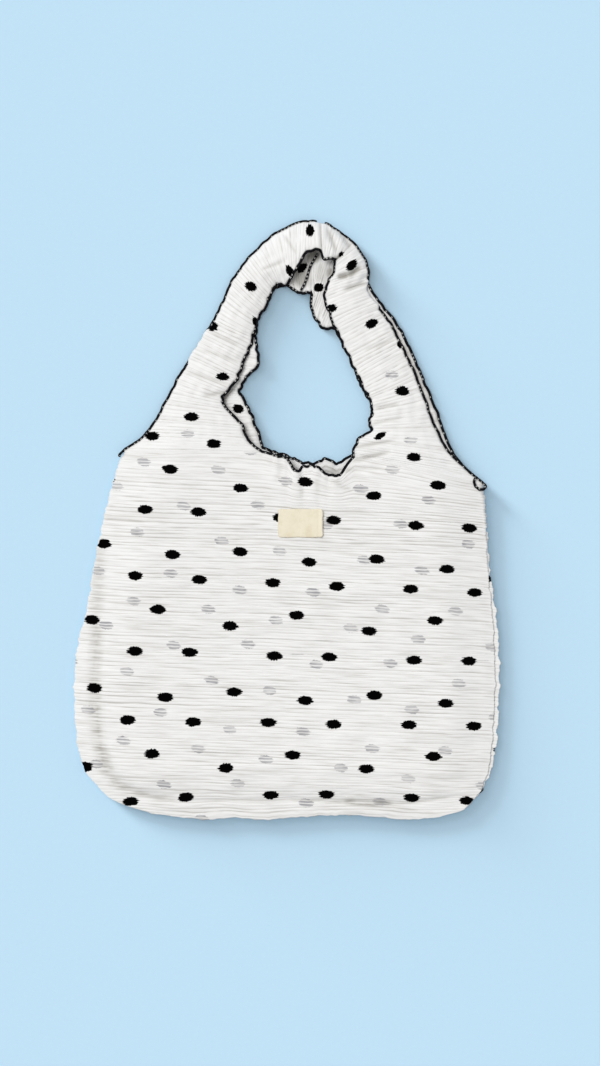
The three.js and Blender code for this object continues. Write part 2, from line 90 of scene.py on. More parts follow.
# %% Camera
LENS = 85.0
SENSOR = 36.0
PHOTO_SIZE = (600.0, 1066.0)
CLOTH_LEVEL = 0.008

camera_data = bpy.data.cameras.new("camera")
camera_data.sensor_fit = "AUTO"
camera_data.sensor_width = SENSOR
camera_data.lens = LENS
camera = bpy.data.objects.new("camera", camera_data)
scene.collection.objects.link(camera)
centre_x, centre_y = at_pixel(PHOTO_SIZE[0] / 2, PHOTO_SIZE[1] / 2)
camera.location = (
    (centre_x + SHIFT[0]) * MM,
    (centre_y + SHIFT[1]) * MM,
    CLOTH_LEVEL + PHOTO_SIZE[1] * PIXEL * MM * LENS / SENSOR,
)
camera.rotation_euler = (0.0, 0.0, 0.0)
camera_data.clip_start = 0.1
camera_data.clip_end = 20.0
scene.camera = camera
print("camera at", [round(v, 3) for v in camera.location])

# %% [markdown]
# The bag was cut and gathered by hand, so no simple shape describes its outline. It could be traced as
# one long curve, but then the pleats would have nothing to follow. Instead, short tables hold its
# sections: the sides of the body from the hem up, the gathers of the neck, and the straps from shoulder
# to shoulder. The values are shares of the named sizes, as in the CAD model, and a smooth curve runs
# through them.

# %% Sizes shared with the CAD model, in millimetres
BODY_WIDTH = 382.0
BODY_HEIGHT = 327.0
LOOP_RISE = 208.0
BAG_DEPTH = 15.0
SHOULDER_DROP = 30.0
NECK_WIDTH = 84.0
NECK_OFFSET = 20.0
NECK_DIP = 10.0
STRAP_WIDTH = 46.0
CLOTH = 1.5
SEAM_GAP = 0.3
SEAM_HEIGHT = 4.5
RIM_REACH = 26.0
RIM_ROUND = 11.0
BACK_PEEK = 4.5
HEM_WAVE = 5.0
HEM_FOLD = (0.8, 12.0, 6.0)
THREAD = 2.0
print("flat body", BODY_WIDTH, "by", BODY_HEIGHT, "mm, straps", STRAP_WIDTH, "mm wide")

# %% Body and hem


def table(names, rows):
    """The named columns of a short table, one row per section."""
    return dict(zip(names.split(), np.array(rows, float).T))


BODY = table("up left right peek", [
    (0.000, -0.316, 0.363, 0.00),
    (0.016, -0.358, 0.412, 0.00),
    (0.028, -0.388, 0.426, 0.10),
    (0.041, -0.410, 0.437, 0.20),
    (0.057, -0.428, 0.449, 0.25),
    (0.074, -0.444, 0.459, 0.30),
    (0.120, -0.474, 0.474, 0.55),
    (0.183, -0.490, 0.483, 0.85),
    (0.260, -0.497, 0.488, 1.00),
    (0.336, -0.499, 0.491, 0.90),
    (0.407, -0.497, 0.493, 0.95),
    (0.484, -0.488, 0.491, 1.00),
    (0.560, -0.470, 0.489, 0.90),
    (0.648, -0.458, 0.483, 0.70),
    (0.743, -0.443, 0.476, 0.40),
    (0.839, -0.425, 0.473, 0.20),
    (0.920, -0.407, 0.470, 0.10),
    (0.960, -0.396, 0.467, 0.05),
    (1.000, -0.381, 0.464, 0.00),
])
HEM = table("across dip", [
    (0.00, 0.0), (0.19, 1.0), (0.29, 0.6), (0.38, 1.0),
    (0.55, 0.4), (0.70, 0.2), (0.90, 1.0), (1.00, 0.5),
])
print("body sections", len(BODY["up"]))

# %% Neck edges of both panels
FRONT_NECK = table("across dip lift", [
    (0.00, -0.96, 0.72), (0.20, -0.66, 0.82), (0.28, -0.46, 0.72), (0.33, 0.25, 0.85),
    (0.37, 0.52, 0.93), (0.41, 0.46, 0.90), (0.45, 0.02, 0.72), (0.53, -0.12, 0.78),
    (0.60, 0.02, 0.86), (0.66, 0.32, 0.76), (0.72, 0.60, 0.72), (0.79, 0.60, 0.93),
    (0.86, 0.36, 0.88), (0.90, -0.25, 0.80), (1.00, -1.30, 0.72),
])
BACK_NECK = table("across dip lift", [
    (0.00, -1.36, 0.10), (0.10, -1.10, 0.05), (0.28, -0.80, 0.16), (0.37, -0.50, 0.06),
    (0.48, -0.30, 0.16), (0.60, -0.45, 0.06), (0.70, -0.90, 0.18), (0.80, -0.50, 0.06),
    (0.90, -1.00, 0.16), (1.00, -1.50, 0.08),
])
print("neck points", len(FRONT_NECK["dip"]), "and", len(BACK_NECK["dip"]))

# %% Strap of the front panel
FRONT_LOOP = table("x y span lean out mid inn", [
    (-0.211, 0.048, 2.10, -3, 0.36, 0.80, 0.60),
    (-0.207, 0.128, 1.65, -3, 0.32, 0.68, 0.50),
    (-0.215, 0.217, 1.09, -4, 0.30, 0.60, 0.44),
    (-0.194, 0.295, 1.02, -11, 0.30, 0.58, 0.50),
    (-0.165, 0.384, 1.00, -12, 0.30, 0.58, 0.42),
    (-0.134, 0.497, 0.91, -9, 0.30, 0.58, 0.36),
    (-0.111, 0.594, 0.78, -18, 0.30, 0.60, 0.34),
    (-0.086, 0.688, 0.82, -33, 0.30, 0.60, 0.34),
    (-0.055, 0.781, 0.76, -50, 0.30, 0.64, 0.36),
    (-0.016, 0.828, 0.99, -74, 0.30, 0.70, 0.40),
    (0.016, 0.876, 0.94, -88, 0.32, 0.80, 0.70),
    (0.047, 0.924, 0.67, -93, 0.34, 0.90, 0.95),
    (0.079, 0.931, 0.57, -88, 0.34, 0.92, 1.00),
    (0.098, 0.903, 0.70, -98, 0.34, 0.90, 0.95),
    (0.127, 0.883, 0.50, -110, 0.36, 0.84, 0.86),
    (0.141, 0.848, 0.56, -142, 0.40, 0.72, 0.60),
    (0.150, 0.792, 0.69, -158, 0.36, 0.84, 0.62),
    (0.146, 0.740, 0.84, -168, 0.32, 0.62, 0.60),
    (0.140, 0.677, 0.82, -169, 0.30, 0.72, 0.50),
    (0.159, 0.610, 0.94, -169, 0.34, 0.74, 0.44),
    (0.187, 0.521, 1.03, -165, 0.34, 0.66, 0.40),
    (0.214, 0.419, 1.05, -166, 0.32, 0.60, 0.42),
    (0.243, 0.306, 1.05, -166, 0.32, 0.60, 0.40),
    (0.266, 0.204, 1.06, -176, 0.32, 0.62, 0.46),
    (0.273, 0.104, 1.33, -182, 0.32, 0.68, 0.42),
    (0.278, 0.022, 1.78, -188, 0.34, 0.76, 0.56),
    (0.293, -0.041, 2.20, -189, 0.36, 0.80, 0.50),
])
print("front strap sections", len(FRONT_LOOP["x"]))

# %% Strap of the back panel
BACK_LOOP = table("x y span lean out mid inn", [
    (-0.198, 0.076, 2.16, 4, 0.00, 0.02, 0.04),
    (-0.191, 0.187, 1.65, 3, 0.00, 0.02, 0.12),
    (-0.181, 0.291, 1.18, -8, 0.00, 0.03, 0.02),
    (-0.147, 0.388, 1.21, -10, 0.00, 0.02, 0.14),
    (-0.130, 0.477, 1.01, -13, 0.00, 0.02, 0.16),
    (-0.110, 0.592, 0.75, -23, 0.00, 0.04, 0.02),
    (-0.073, 0.716, 0.75, -39, 0.00, 0.04, 0.04),
    (-0.026, 0.803, 0.86, -60, 0.00, 0.04, 0.02),
    (0.021, 0.822, 1.25, -81, 0.00, 0.05, 0.10),
    (0.064, 0.833, 1.33, -92, 0.00, 0.04, 0.14),
    (0.090, 0.783, 1.58, -107, 0.00, 0.10, 0.06),
    (0.123, 0.705, 1.63, -113, 0.00, 0.06, 0.02),
    (0.150, 0.644, 1.18, -119, 0.02, 0.03, 0.02),
    (0.174, 0.566, 1.10, -127, 0.04, 0.02, 0.00),
    (0.207, 0.473, 1.16, -138, 0.03, 0.02, 0.00),
    (0.234, 0.369, 1.19, -144, 0.02, 0.02, 0.00),
    (0.258, 0.258, 1.20, -154, 0.02, 0.02, 0.00),
    (0.273, 0.143, 1.40, -169, 0.02, 0.02, 0.02),
    (0.278, 0.026, 1.80, -182, 0.01, 0.02, 0.02),
    (0.296, -0.040, 2.20, -191, 0.00, 0.02, 0.04),
])
print("back strap sections", len(BACK_LOOP["x"]))

# %% [markdown]
# Cloth is never quite regular. Blender's noise textures could move its points, but a sum of a few sine
# waves with seeded phases gives the same cloth on every run and can be stretched along the pleats. The
# helpers here are an easing curve, a smooth curve through table rows, and that noise.

# %% Curves


def ease(t):
    """0 to 1 with a soft start and end."""
    t = np.clip(t, 0.0, 1.0)
    return t * t * (3.0 - 2.0 * t)


def smooth(values, u):
    """A curve through evenly numbered values, at the fractional numbers u."""
    values = np.asarray(values, float)
    last = len(values) - 1
    u = np.asarray(u, float)
    i = np.clip(np.floor(u).astype(int), 0, last - 1)
    t = u - i
    a = values[np.clip(i - 1, 0, last)]
    b = values[i]
    c = values[i + 1]
    d = values[np.clip(i + 2, 0, last)]
    return b + 0.5 * t * (c - a + t * (2 * a - 5 * b + 4 * c - d + t * (3 * (b - c) + d - a)))


def sample(rows, key, value, column):
    """One column of a table at values of its first column."""
    keys = rows[key]
    value = np.asarray(value, float)
    i = np.clip(np.searchsorted(keys, value) - 1, 0, len(keys) - 2)
    t = np.clip((value - keys[i]) / (keys[i + 1] - keys[i]), 0.0, 1.0)
    return smooth(rows[column], i + t)


def unit(vectors):
    """Directions one long."""
    return vectors / (np.linalg.norm(vectors, axis=-1, keepdims=True) + 1e-12)


def lengths(path):
    """How far along a path each of its points lies."""
    return np.concatenate([[0], np.cumsum(np.linalg.norm(np.diff(path, axis=0), axis=1))])


print("half way along a curve", smooth([0.0, 1.0, 4.0, 9.0], 1.5))

# %% Seeded noise


def wander(x, seed, waves=5, longest=1.0):
    """Smooth seeded noise about -1 to 1 along x, with its longest wave given."""
    rng = np.random.default_rng(seed)
    x = np.asarray(x, float)
    total = np.zeros_like(x)
    for k in range(waves):
        wave = longest / (1.0 + 0.75 * k + rng.random() * 0.5)
        total += np.sin(2 * np.pi * (x / wave + rng.random())) / (1.0 + 0.45 * k)
    return total / 1.9


def wander2(x, y, seed, waves=9, long_x=60.0, long_y=20.0):
    """Smooth seeded noise about -1 to 1 over x and y, stretched as the two lengths say."""
    rng = np.random.default_rng(seed)
    total = np.zeros(np.broadcast(x, y).shape)
    for k in range(waves):
        turn = rng.random() * 2 * np.pi
        scale = 1.0 + 0.35 * k
        phase = rng.random() * 2 * np.pi
        along = np.cos(turn) * x / long_x + np.sin(turn) * y / long_y
        total += np.sin(scale * 2 * np.pi * along + phase)
    return total / math.sqrt(waves) / 1.1


def bump(distance, width):
    """A soft hill one high."""
    return np.exp(-((distance / width) ** 2))


print("noise at the start", wander(np.array([0.0]), 1).round(3))

# %% [markdown]
# One panel is one sheet of cloth: the body, and a strap that leaves the body's left shoulder, loops over
# and comes down to its right shoulder. A cloth simulation could drop a flat panel on the floor, but it
# would not fall into the folds of the photo. So the sheet is computed point by point, as two grids
# that share a row. Each grid row is a ridge, a side or a valley of a pleat, and the rows fan out
# round the bend of the strap as the real pleats do.

# %% The panel's parts
STRAP_PARTS = 7.0
NECK_PARTS = 14.0
PARTS = 2 * STRAP_PARTS + NECK_PARTS
EDGE_CROWDING = 1.6
BASE_STATIONS = 2.5
PLEAT = 3.1
PLEAT_ROWS = (1.0, 0.55, -1.0)
STRAP_COLUMNS = 26
NECK_COLUMNS = 46

step = (CLOTH + SEAM_GAP) / 2
rest = max(CLOTH, THREAD) / 2 + SEAM_GAP / 2
FRONT = dict(neck=FRONT_NECK, loop=FRONT_LOOP, peek=0.0, seam_z=SEAM_HEIGHT + step,
             open_z=BAG_DEPTH - CLOTH / 2, base=0.0, folds=1.0, seam=13, seed=10)
BACK = dict(neck=BACK_NECK, loop=BACK_LOOP, peek=BACK_PEEK, seam_z=SEAM_HEIGHT - step,
            open_z=CLOTH / 2, base=rest, folds=0.0, seam=10, seed=50)
print("lowest thread, mm", rest)

# %% Points of the body
NECK_FADE = 22
LIFT_FADE = 14
HEM_FADE = 12
NEAR_RIM = 0.12
RIM_SPREAD = 1.8


def body_points(panel, up, part):
    """Points of the body's cloth for shares of its height and part numbers across it."""
    up, part = np.broadcast_arrays(np.asarray(up, float), np.asarray(part, float))
    left = sample(BODY, "up", up, "left") * BODY_WIDTH
    right = sample(BODY, "up", up, "right") * BODY_WIDTH
    right = right + sample(BODY, "up", up, "peek") * panel["peek"]
    top_left = BODY["left"][-1] * BODY_WIDTH
    top_right = BODY["right"][-1] * BODY_WIDTH
    neck_left = NECK_OFFSET - NECK_WIDTH / 2
    neck_right = NECK_OFFSET + NECK_WIDTH / 2

    def across_body(low, high, crowding):
        in_left = np.clip(part / STRAP_PARTS, 0, 1) ** crowding
        in_right = np.clip((PARTS - part) / STRAP_PARTS, 0, 1) ** crowding
        in_neck = (part - STRAP_PARTS) / NECK_PARTS
        x = neck_left + (neck_right - neck_left) * in_neck
        x = np.where(part < STRAP_PARTS, low + (neck_left - low) * in_left, x)
        return np.where(part > PARTS - STRAP_PARTS, high + (neck_right - high) * in_right, x)

    crowding = EDGE_CROWDING + (1.0 - EDGE_CROWDING) * up ** 4
    x = across_body(left, right, crowding)
    top_x = across_body(top_left, top_right, 1.0)
    across = np.clip((x - left) / (right - left), 0, 1)
    shoulder = -SHOULDER_DROP * (top_x - top_left) / (top_right - top_left)
    in_neck = (part - STRAP_PARTS) / NECK_PARTS
    beyond = np.maximum(np.maximum(-in_neck, in_neck - 1), 0) * NECK_PARTS / STRAP_PARTS
    dip = NECK_DIP * sample(panel["neck"], "across", np.clip(in_neck, 0, 1), "dip") * (1 - ease(beyond))
    lift = panel["base"] + BAG_DEPTH * sample(panel["neck"], "across", np.clip(in_neck, 0, 1), "lift")
    hold = 1 - ease(2 * beyond)
    hem = HEM_WAVE * sample(HEM, "across", across, "dip") * (1 - up) ** HEM_FADE
    y = -BODY_HEIGHT + (shoulder + BODY_HEIGHT) * up - hem - dip * up ** NECK_FADE
    height = up * BODY_HEIGHT
    opened = 1.0
    for far_in in (x - left, right - x, height):
        near = ease(far_in / RIM_ROUND)
        further = ease(far_in / (RIM_SPREAD * RIM_REACH))
        opened = opened * (NEAR_RIM * near + (1 - NEAR_RIM) * further)
    low = HEM_FOLD[0] * bump(height - HEM_FOLD[1], HEM_FOLD[2]) * ease(6 * across) * ease(6 - 6 * across)
    z = panel["seam_z"] + (panel["open_z"] - panel["seam_z"]) * opened - panel["folds"] * low
    z = z + (lift - z) * hold * up ** LIFT_FADE
    return np.stack([x, y, z], -1), np.stack([x - left, right - x, height])


print("front shoulders, mm", body_points(FRONT, 1.0, np.array([0.0, PARTS]))[0].round(1).tolist())

# %% Points of the strap


def loop_sections(panel):
    """Outer edge, inner edge and middle height of each strap section, both shoulders included."""
    loop = panel["loop"]
    half = loop["span"] * STRAP_WIDTH / 2 - THREAD / 2 - SEAM_GAP
    lean = np.radians(loop["lean"])
    middle = np.stack([loop["x"] * BODY_WIDTH, loop["y"] * LOOP_RISE], -1)
    along = np.stack([np.cos(lean), np.sin(lean)], -1) * half[:, None]
    outer = np.column_stack([middle - along, panel["base"] + loop["out"] * BAG_DEPTH])
    inner = np.column_stack([middle + along, panel["base"] + loop["inn"] * BAG_DEPTH])
    ends = body_points(panel, 1.0, np.array([0.0, STRAP_PARTS, PARTS, PARTS - STRAP_PARTS]))[0]
    outer = np.vstack([ends[0], outer, ends[2]])
    inner = np.vstack([ends[1], inner, ends[3]])
    mid = np.concatenate([[panel["open_z"]], panel["base"] + loop["mid"] * BAG_DEPTH, [panel["open_z"]]])
    return outer, inner, mid


def loop_points(panel, u, v):
    """Points of the strap's cloth: u counts its sections, v runs from outer to inner edge."""
    u, v = np.broadcast_arrays(np.asarray(u, float), np.asarray(v, float))
    outer, inner, mid = loop_sections(panel)
    a = np.stack([smooth(outer[:, k], u) for k in range(3)], -1)
    b = np.stack([smooth(inner[:, k], u) for k in range(3)], -1)
    points = a + (b - a) * v[..., None]
    crown = smooth(mid, u) - (a[..., 2] + b[..., 2]) / 2
    z = points[..., 2] + crown * 4 * v * (1 - v)
    last = len(mid) - 1
    base_part = np.where(u < last / 2, v * STRAP_PARTS, PARTS - v * STRAP_PARTS)
    base = body_points(panel, 1.0, base_part)[0]
    points[..., 2] = base[..., 2] + (z - base[..., 2]) * ease(np.minimum(u, last - u) / BASE_STATIONS)
    return points


print("top of the front strap, mm", loop_points(FRONT, 12.0, 0.5).round(1))

# %% Rows of pleats


def uneven(count, seed):
    """Shares from 0 to 1 of the ridges and valleys of pleats that aren't all one width."""
    steps = 0.55 + 0.9 * np.random.default_rng(seed).random(count - 1)
    return np.concatenate([[0.0], np.cumsum(steps) / steps.sum()])


def spread_rows(panel):
    """The strap's rows, three to a pleat: section numbers, distance from the shoulder, the seam's row."""
    last = len(panel["loop"]["x"]) + 1
    u = np.linspace(0, last, 6001)
    middle = loop_points(panel, u, 0.5)
    length = lengths(middle)
    seam = np.interp(panel["seam"], u, length)
    halves = []
    for start, end in ((0.0, seam), (length[-1], seam)):
        count = len(PLEAT_ROWS) * int(round(abs(end - start) / PLEAT)) + 1
        at = start + (end - start) * uneven(count, panel["seed"] + count)
        halves.append((np.interp(at, length, u), np.abs(at - start)))
    rows = np.concatenate([halves[0][0], halves[1][0][-2::-1]])
    far = np.concatenate([halves[0][1], halves[1][1][-2::-1]])
    return rows, far, len(halves[0][0]) - 1


print("rows on the front strap", len(spread_rows(FRONT)[0]))

# %% [markdown]
# A real pleat isn't even: its height swells and fades along its line, neighbours run together, and hard
# creases cross it where the cloth was squeezed. A displacement texture could do part of this, but it
# can't bend an edge or turn one under. So the points themselves are moved. Every crease that shows in
# the photo is a short line in a table, from pixel to pixel, with its width in pixels and its depth. The
# material paints shade along the same lines, and the back's table also marks places that lie in shade.

# %% Creases of the front
FRONT_CREASES = table("x0 y0 x1 y1 width depth", [
    (101, 540, 97, 620, 6.5, 1.0), (97, 620, 95, 690, 6.0, 1.5), (95, 690, 98, 740, 6.0, 1.8),
    (98, 740, 110, 776, 6.5, 1.9), (110, 776, 130, 791, 6.0, 1.8), (130, 791, 175, 801, 4.0, 1.1),
    (175, 801, 290, 800, 2.5, 0.7), (290, 799, 345, 802, 2.6, 1.2), (345, 802, 392, 804, 3.6, 2.6),
    (392, 805, 452, 797, 2.5, 1.0), (357, 447, 392, 441, 2.2, 1.2), (352, 461, 387, 453, 2.4, 1.4),
    (344, 471, 380, 468, 2.6, 1.3), (331, 480, 352, 492, 3.0, 0.9), (300, 472, 303, 498, 2.6, 0.5),
    (317, 474, 318, 506, 3.0, 0.6), (283, 465, 276, 484, 2.6, 0.5), (338, 277, 348, 276, 3.0, 2.4),
    (348, 276, 360, 268, 3.0, 2.6), (333, 261, 343, 254, 2.2, 2.4), (320, 222, 322, 258, 1.6, 1.2),
    (345, 290, 364, 283, 2.6, 1.4), (328, 230, 336, 252, 2.6, 1.2), (339, 232, 350, 248, 2.6, 1.0),
    (211, 332, 238, 345, 2.5, 0.7), (205, 350, 236, 362, 2.5, 0.7), (186, 372, 226, 384, 2.5, 0.7),
    (366, 350, 392, 340, 2.5, 0.7), (375, 409, 398, 404, 2.6, 1.0), (372, 424, 400, 418, 2.4, 0.9),
    (228, 392, 205, 396, 2.5, 1.0), (262, 270, 282, 262, 2.0, 0.7), (285, 236, 296, 254, 2.0, 0.8),
])
print("creases of the front", len(FRONT_CREASES["width"]))

# %% Creases, painted shade and bulges of the back
BACK_CREASES_AND_SHADE = table("x0 y0 x1 y1 width depth", [
    (299, 260, 302, 286, 9.0, 1.0), (310, 251, 318, 260, 8.0, 1.0), (331, 268, 331, 276, 5.0, 1.0),
    (321, 264, 321, 282, 6.0, 0.4), (240, 352, 232, 378, 4.0, 0.6), (229, 384, 222, 402, 5.0, 0.7),
    (223, 404, 238, 422, 4.0, 0.6), (240, 424, 250, 448, 4.0, 0.6), (386, 314, 400, 338, 3.5, 0.4),
    (400, 338, 413, 361, 3.5, 0.4), (413, 361, 422, 385, 3.5, 0.4), (422, 385, 435, 409, 3.5, 0.4),
    (435, 409, 444, 433, 3.5, 0.4), (296, 468, 296, 474, 4.0, 0.6), (318, 471, 342, 474, 4.0, 0.5),
])
# a stronger mask on the back: it paints shade inside the strap and under the front strap's edge
BACK_SHADE = 2.2
FRONT_PUSHES = table("px py right down reach", [
    (366, 430, 6.5, 0.0, 6.0), (357, 449, -2.5, 0.0, 5.0), (235, 380, 3.5, 0.0, 6.5),
])
BACK_PUSHES = table("px py right down reach", [
    (253, 360, 3.5, 0.0, 8.0), (240, 386, 1.5, 0.0, 5.0), (369, 408, 5.0, 0.0, 15.0),
    (364, 431, 7.5, 0.0, 8.0),
    (272, 287, -1.5, -4.0, 8.0), (258, 312, -4.0, -1.0, 11.0),
])
print("bulges", len(FRONT_PUSHES["px"]) + len(BACK_PUSHES["px"]))

# %% Push and press
LIP = 0.45


def shove(points, pushes):
    """Moves the cloth sideways round single points, for bulges and notches of its edges."""
    for px, py, right, down, reach in zip(*pushes.values()):
        away = points[..., :2] - np.array(at_pixel(px, py))
        near = np.exp(-(away ** 2).sum(-1) / (reach * PIXEL) ** 2)
        points[..., 0] += right * PIXEL * near
        points[..., 1] -= down * PIXEL * near


def press(points, creases):
    """Pushes a valley with a lip beside it into the cloth along each short line, and gives its painted-shade
    mask.
    """
    mask = np.zeros(points.shape[:-1])
    for x0, y0, x1, y1, width, depth in zip(*creases.values()):
        start = np.array(at_pixel(x0, y0))
        run = np.array(at_pixel(x1, y1)) - start
        length = np.hypot(*run)
        away = points[..., :2] - start
        t = away @ run / length ** 2
        side = (away[..., 0] * run[1] - away[..., 1] * run[0]) / length
        ends = ease((t + 0.2) / 0.4) * ease((1.2 - t) / 0.4)
        wide = width * PIXEL
        points[..., 2] -= depth * ends * (bump(side, wide) - LIP * bump(side - 2 * wide, 1.3 * wide))
        mask = np.maximum(mask, depth * ends * bump(side, wide))
    return mask


print("depth in the middle of a hill", bump(0.0, 1.0))

# %% [markdown]
# The free edges of the cloth curl and wave, because the overlock thread gathers them. A wave modifier is
# too regular for that. The edges are moved by seeded noise that fades away inside the cloth, and at two
# places the outer edge of the front strap is turned under, so its thread is out of sight.

# %% Ruffles of the body


def ruffle_body(panel, grid):
    """Small waves of the body's rims: serrated sides, a wavy hem and the gathers of the neck."""
    seed = panel["seed"]
    points = grid["points"]
    sides = grid["sides"]
    b = grid["b"][:, 0]
    sway = 0.6 if panel["folds"] else 1.0
    for k, sign in ((0, -1.0), (1, 1.0)):
        wave = 0.28 * grid["line"][:, 0] + sway * wander(b, seed + 8 + k, 7, 30.0)
        points[..., 0] += sign * wave[:, None] * bump(sides[k], 4.0) * ease(sides[2] / 20.0)
    points[..., 1] += 0.6 * wander(grid["a"][0], seed + 12, 7, 34.0)[None, :] * bump(sides[2], 5.0)
    share = (grid["parts"] - STRAP_PARTS) / NECK_PARTS
    gather = (ease(5 * share) * ease(5 - 5 * share))[None, :]
    below = (1 - grid["up"][:, None]) * BODY_HEIGHT
    along = grid["a"][-1]
    fine = wander(along, seed + 14, 4, 17.0) + 0.6 * wander(along, seed + 15, 3, 7.5)
    points[..., 1] += 1.0 * fine[None, :] * gather * bump(below, 5.0)
    high = 1.0 if panel["folds"] else 0.35
    points[..., 2] += high * wander(along, seed + 16, 6, 11.0)[None, :] * gather * bump(below, 9.0)


print("gathers between", STRAP_PARTS, "and", PARTS - STRAP_PARTS, "parts")

# %% Ruffles of the strap
TURNED_REACH = 2.3
TURNED_LEFT = (327, 365)
TURNED_RIGHT = (278, 310)


def ruffle_strap(panel, grid):
    """Ruffles of the strap's free edges, and the places where its outer edge is turned under."""
    seed = panel["seed"]
    points = grid["points"]
    v = grid["v"]
    _, py = pixel_of(points[:, 0])
    on_left = np.arange(len(py)) <= grid["seam_row"]
    turned_left = ease((py - TURNED_LEFT[0]) / 5) * ease((TURNED_LEFT[1] - py) / 5) * on_left
    turned_right = ease((py - TURNED_RIGHT[0]) / 4) * ease((TURNED_RIGHT[1] - py) / 5) * ~on_left
    turned = (turned_left + turned_right) * panel["folds"]
    for nearest, column, salt, most in ((v[None, :], 0, 1, 0.5), (1 - v[None, :], -1, 2, 0.95)):
        outwards = unit(points[:, column, :2] - points[:, STRAP_COLUMNS // 2, :2])
        away = nearest * grid["width"][:, None]
        sway = wander(grid["far"], seed + salt, 4, 24.0)
        sway = sway + 0.15 * wander(grid["far"], seed + salt + 7, 4, 9.0)
        push = most * sway[:, None] * bump(away, 6.0) * grid["free"]
        if column == 0:
            push = push + TURNED_REACH * turned[:, None] * bump(away, 4.0)
            points[..., 2] += 0.5 * turned[:, None] * bump(away, 5.0)
        points[..., :2] += push[..., None] * outwards[:, None, :]
        rise = 0.6 * (wander(grid["far"], seed + salt + 3, 5, 15.0)[:, None] + 0.4)
        points[..., 2] += rise * bump(away, 7.0) * grid["free"]
    grid["turned"] = turned


print("turned under by", TURNED_REACH, "mm")

# %% [markdown]
# On the real bag the pleats of the body fall a little to the right, and those of the straps lean towards
# the opening between them. Straight rows would be simpler, but then the light would catch every pleat
# the same way. So the grid rows themselves are tilted, and each row is raised or lowered by an amount
# of its own, which makes the ridges and valleys.

# %% Grid of the body
BODY_TILT = 0.042
SHOULDER_SLOPE = 0.093
SHOULDER_EDGE = 40.0


def body_grid(panel):
    """The body's grid, one row for each ridge, side and valley, tilted as the pleats run."""
    rows = len(PLEAT_ROWS) * int(round(BODY_HEIGHT / PLEAT)) + 1
    up = uneven(rows, panel["seed"] + 60)
    parts = np.concatenate([
        np.linspace(0, STRAP_PARTS, STRAP_COLUMNS + 1),
        np.linspace(STRAP_PARTS, PARTS - STRAP_PARTS, NECK_COLUMNS + 1)[1:],
        np.linspace(PARTS - STRAP_PARTS, PARTS, STRAP_COLUMNS + 1)[1:],
    ])
    middle_x = body_points(panel, 0.5, parts)[0][:, 0]
    slope = (BODY_TILT - SHOULDER_SLOPE * up) * ease(up / 0.15) * ease((1 - up) / 0.25)
    tilted = up[:, None] - slope[:, None] * middle_x[None, :] / BODY_HEIGHT
    points, sides = body_points(panel, tilted, parts[None, :])
    in_neck = (parts > STRAP_PARTS) & (parts < PARTS - STRAP_PARTS)
    from_neck = (1 - up[:, None]) * BODY_HEIGHT + np.where(in_neck, 0.0, SHOULDER_EDGE)[None, :]
    edge = np.minimum(sides.min(0), from_neck)
    a = points[..., 0].copy()
    return dict(points=points, a=a, b=tilted * BODY_HEIGHT, edge=edge, strap=np.zeros_like(a),
                sides=sides, up=up, parts=parts)


print("points of the front body", body_grid(FRONT)["a"].size)

# %% Grid of the strap
STRAP_SLANT = 0.45


def strap_grid(panel):
    """The strap's grid, whose rows lean on both halves of the strap."""
    u, far, seam_row = spread_rows(panel)
    v = np.linspace(0, 1, STRAP_COLUMNS + 1)
    last = len(panel["loop"]["x"]) + 1
    falls = ease((u - 1.0) / 3.0) * ease((10.0 - u) / 3.0)
    climbs = ease((u - 15.0) / 4.0) * ease((last - u) / 6.0)
    slanted = panel["folds"] * STRAP_SLANT * (climbs - falls)
    points = loop_points(panel, u[:, None] + slanted[:, None] * (v[None, :] - 0.5), v[None, :])
    width = np.linalg.norm(points[:, -1, :2] - points[:, 0, :2], axis=1)
    a = (v[None, :] - 0.5) * width[:, None]
    edge = np.minimum(v, 1 - v)[None, :] * width[:, None]
    half = np.where(np.arange(len(u)) <= seam_row, 1.0, 2.0)[:, None]
    return dict(points=points, a=a, b=np.broadcast_to(far[:, None], a.shape), edge=edge,
                strap=half + 0 * a, v=v, far=far, width=width, seam_row=seam_row,
                free=ease(np.minimum(u, last - u) / 1.2)[:, None])


print("points of the front strap", strap_grid(FRONT)["a"].size)

# %% Slow waves and creases
BODY_WAVE = 0.42
STRAP_WAVE = 0.35


def wave_and_crease(panel, body, strap):
    """Slow waves of the whole cloth, its creases, and the mask of their painted shade."""
    seed = panel["seed"]
    calm = ease(body["edge"] / 18.0) * (1 - 0.7 * body["up"][:, None] ** 6)
    wave = wander2(body["a"], body["b"], seed + 20, 10, 150.0, 46.0)
    body["points"][..., 2] += BODY_WAVE * (wave - 0.6) * calm * panel["folds"]
    wave = wander2(strap["a"], strap["b"], seed + 21, 9, 26.0, 60.0)
    strap["points"][..., 2] += STRAP_WAVE * wave * ease(strap["edge"] / 8.0) * strap["free"]
    for grid in (body, strap):
        if panel["folds"]:
            grid["crease"] = press(grid["points"], FRONT_CREASES)
        else:
            # on the back the mask is mostly painted shade, inside the strap and under the front strap's edge
            grid["crease"] = BACK_SHADE * press(grid["points"], BACK_CREASES_AND_SHADE)


print("slow waves, mm", BODY_WAVE, "and", STRAP_WAVE)

# %% Pleats
PLEAT_HEIGHT = 0.34
PLEAT_SWAY = 0.32


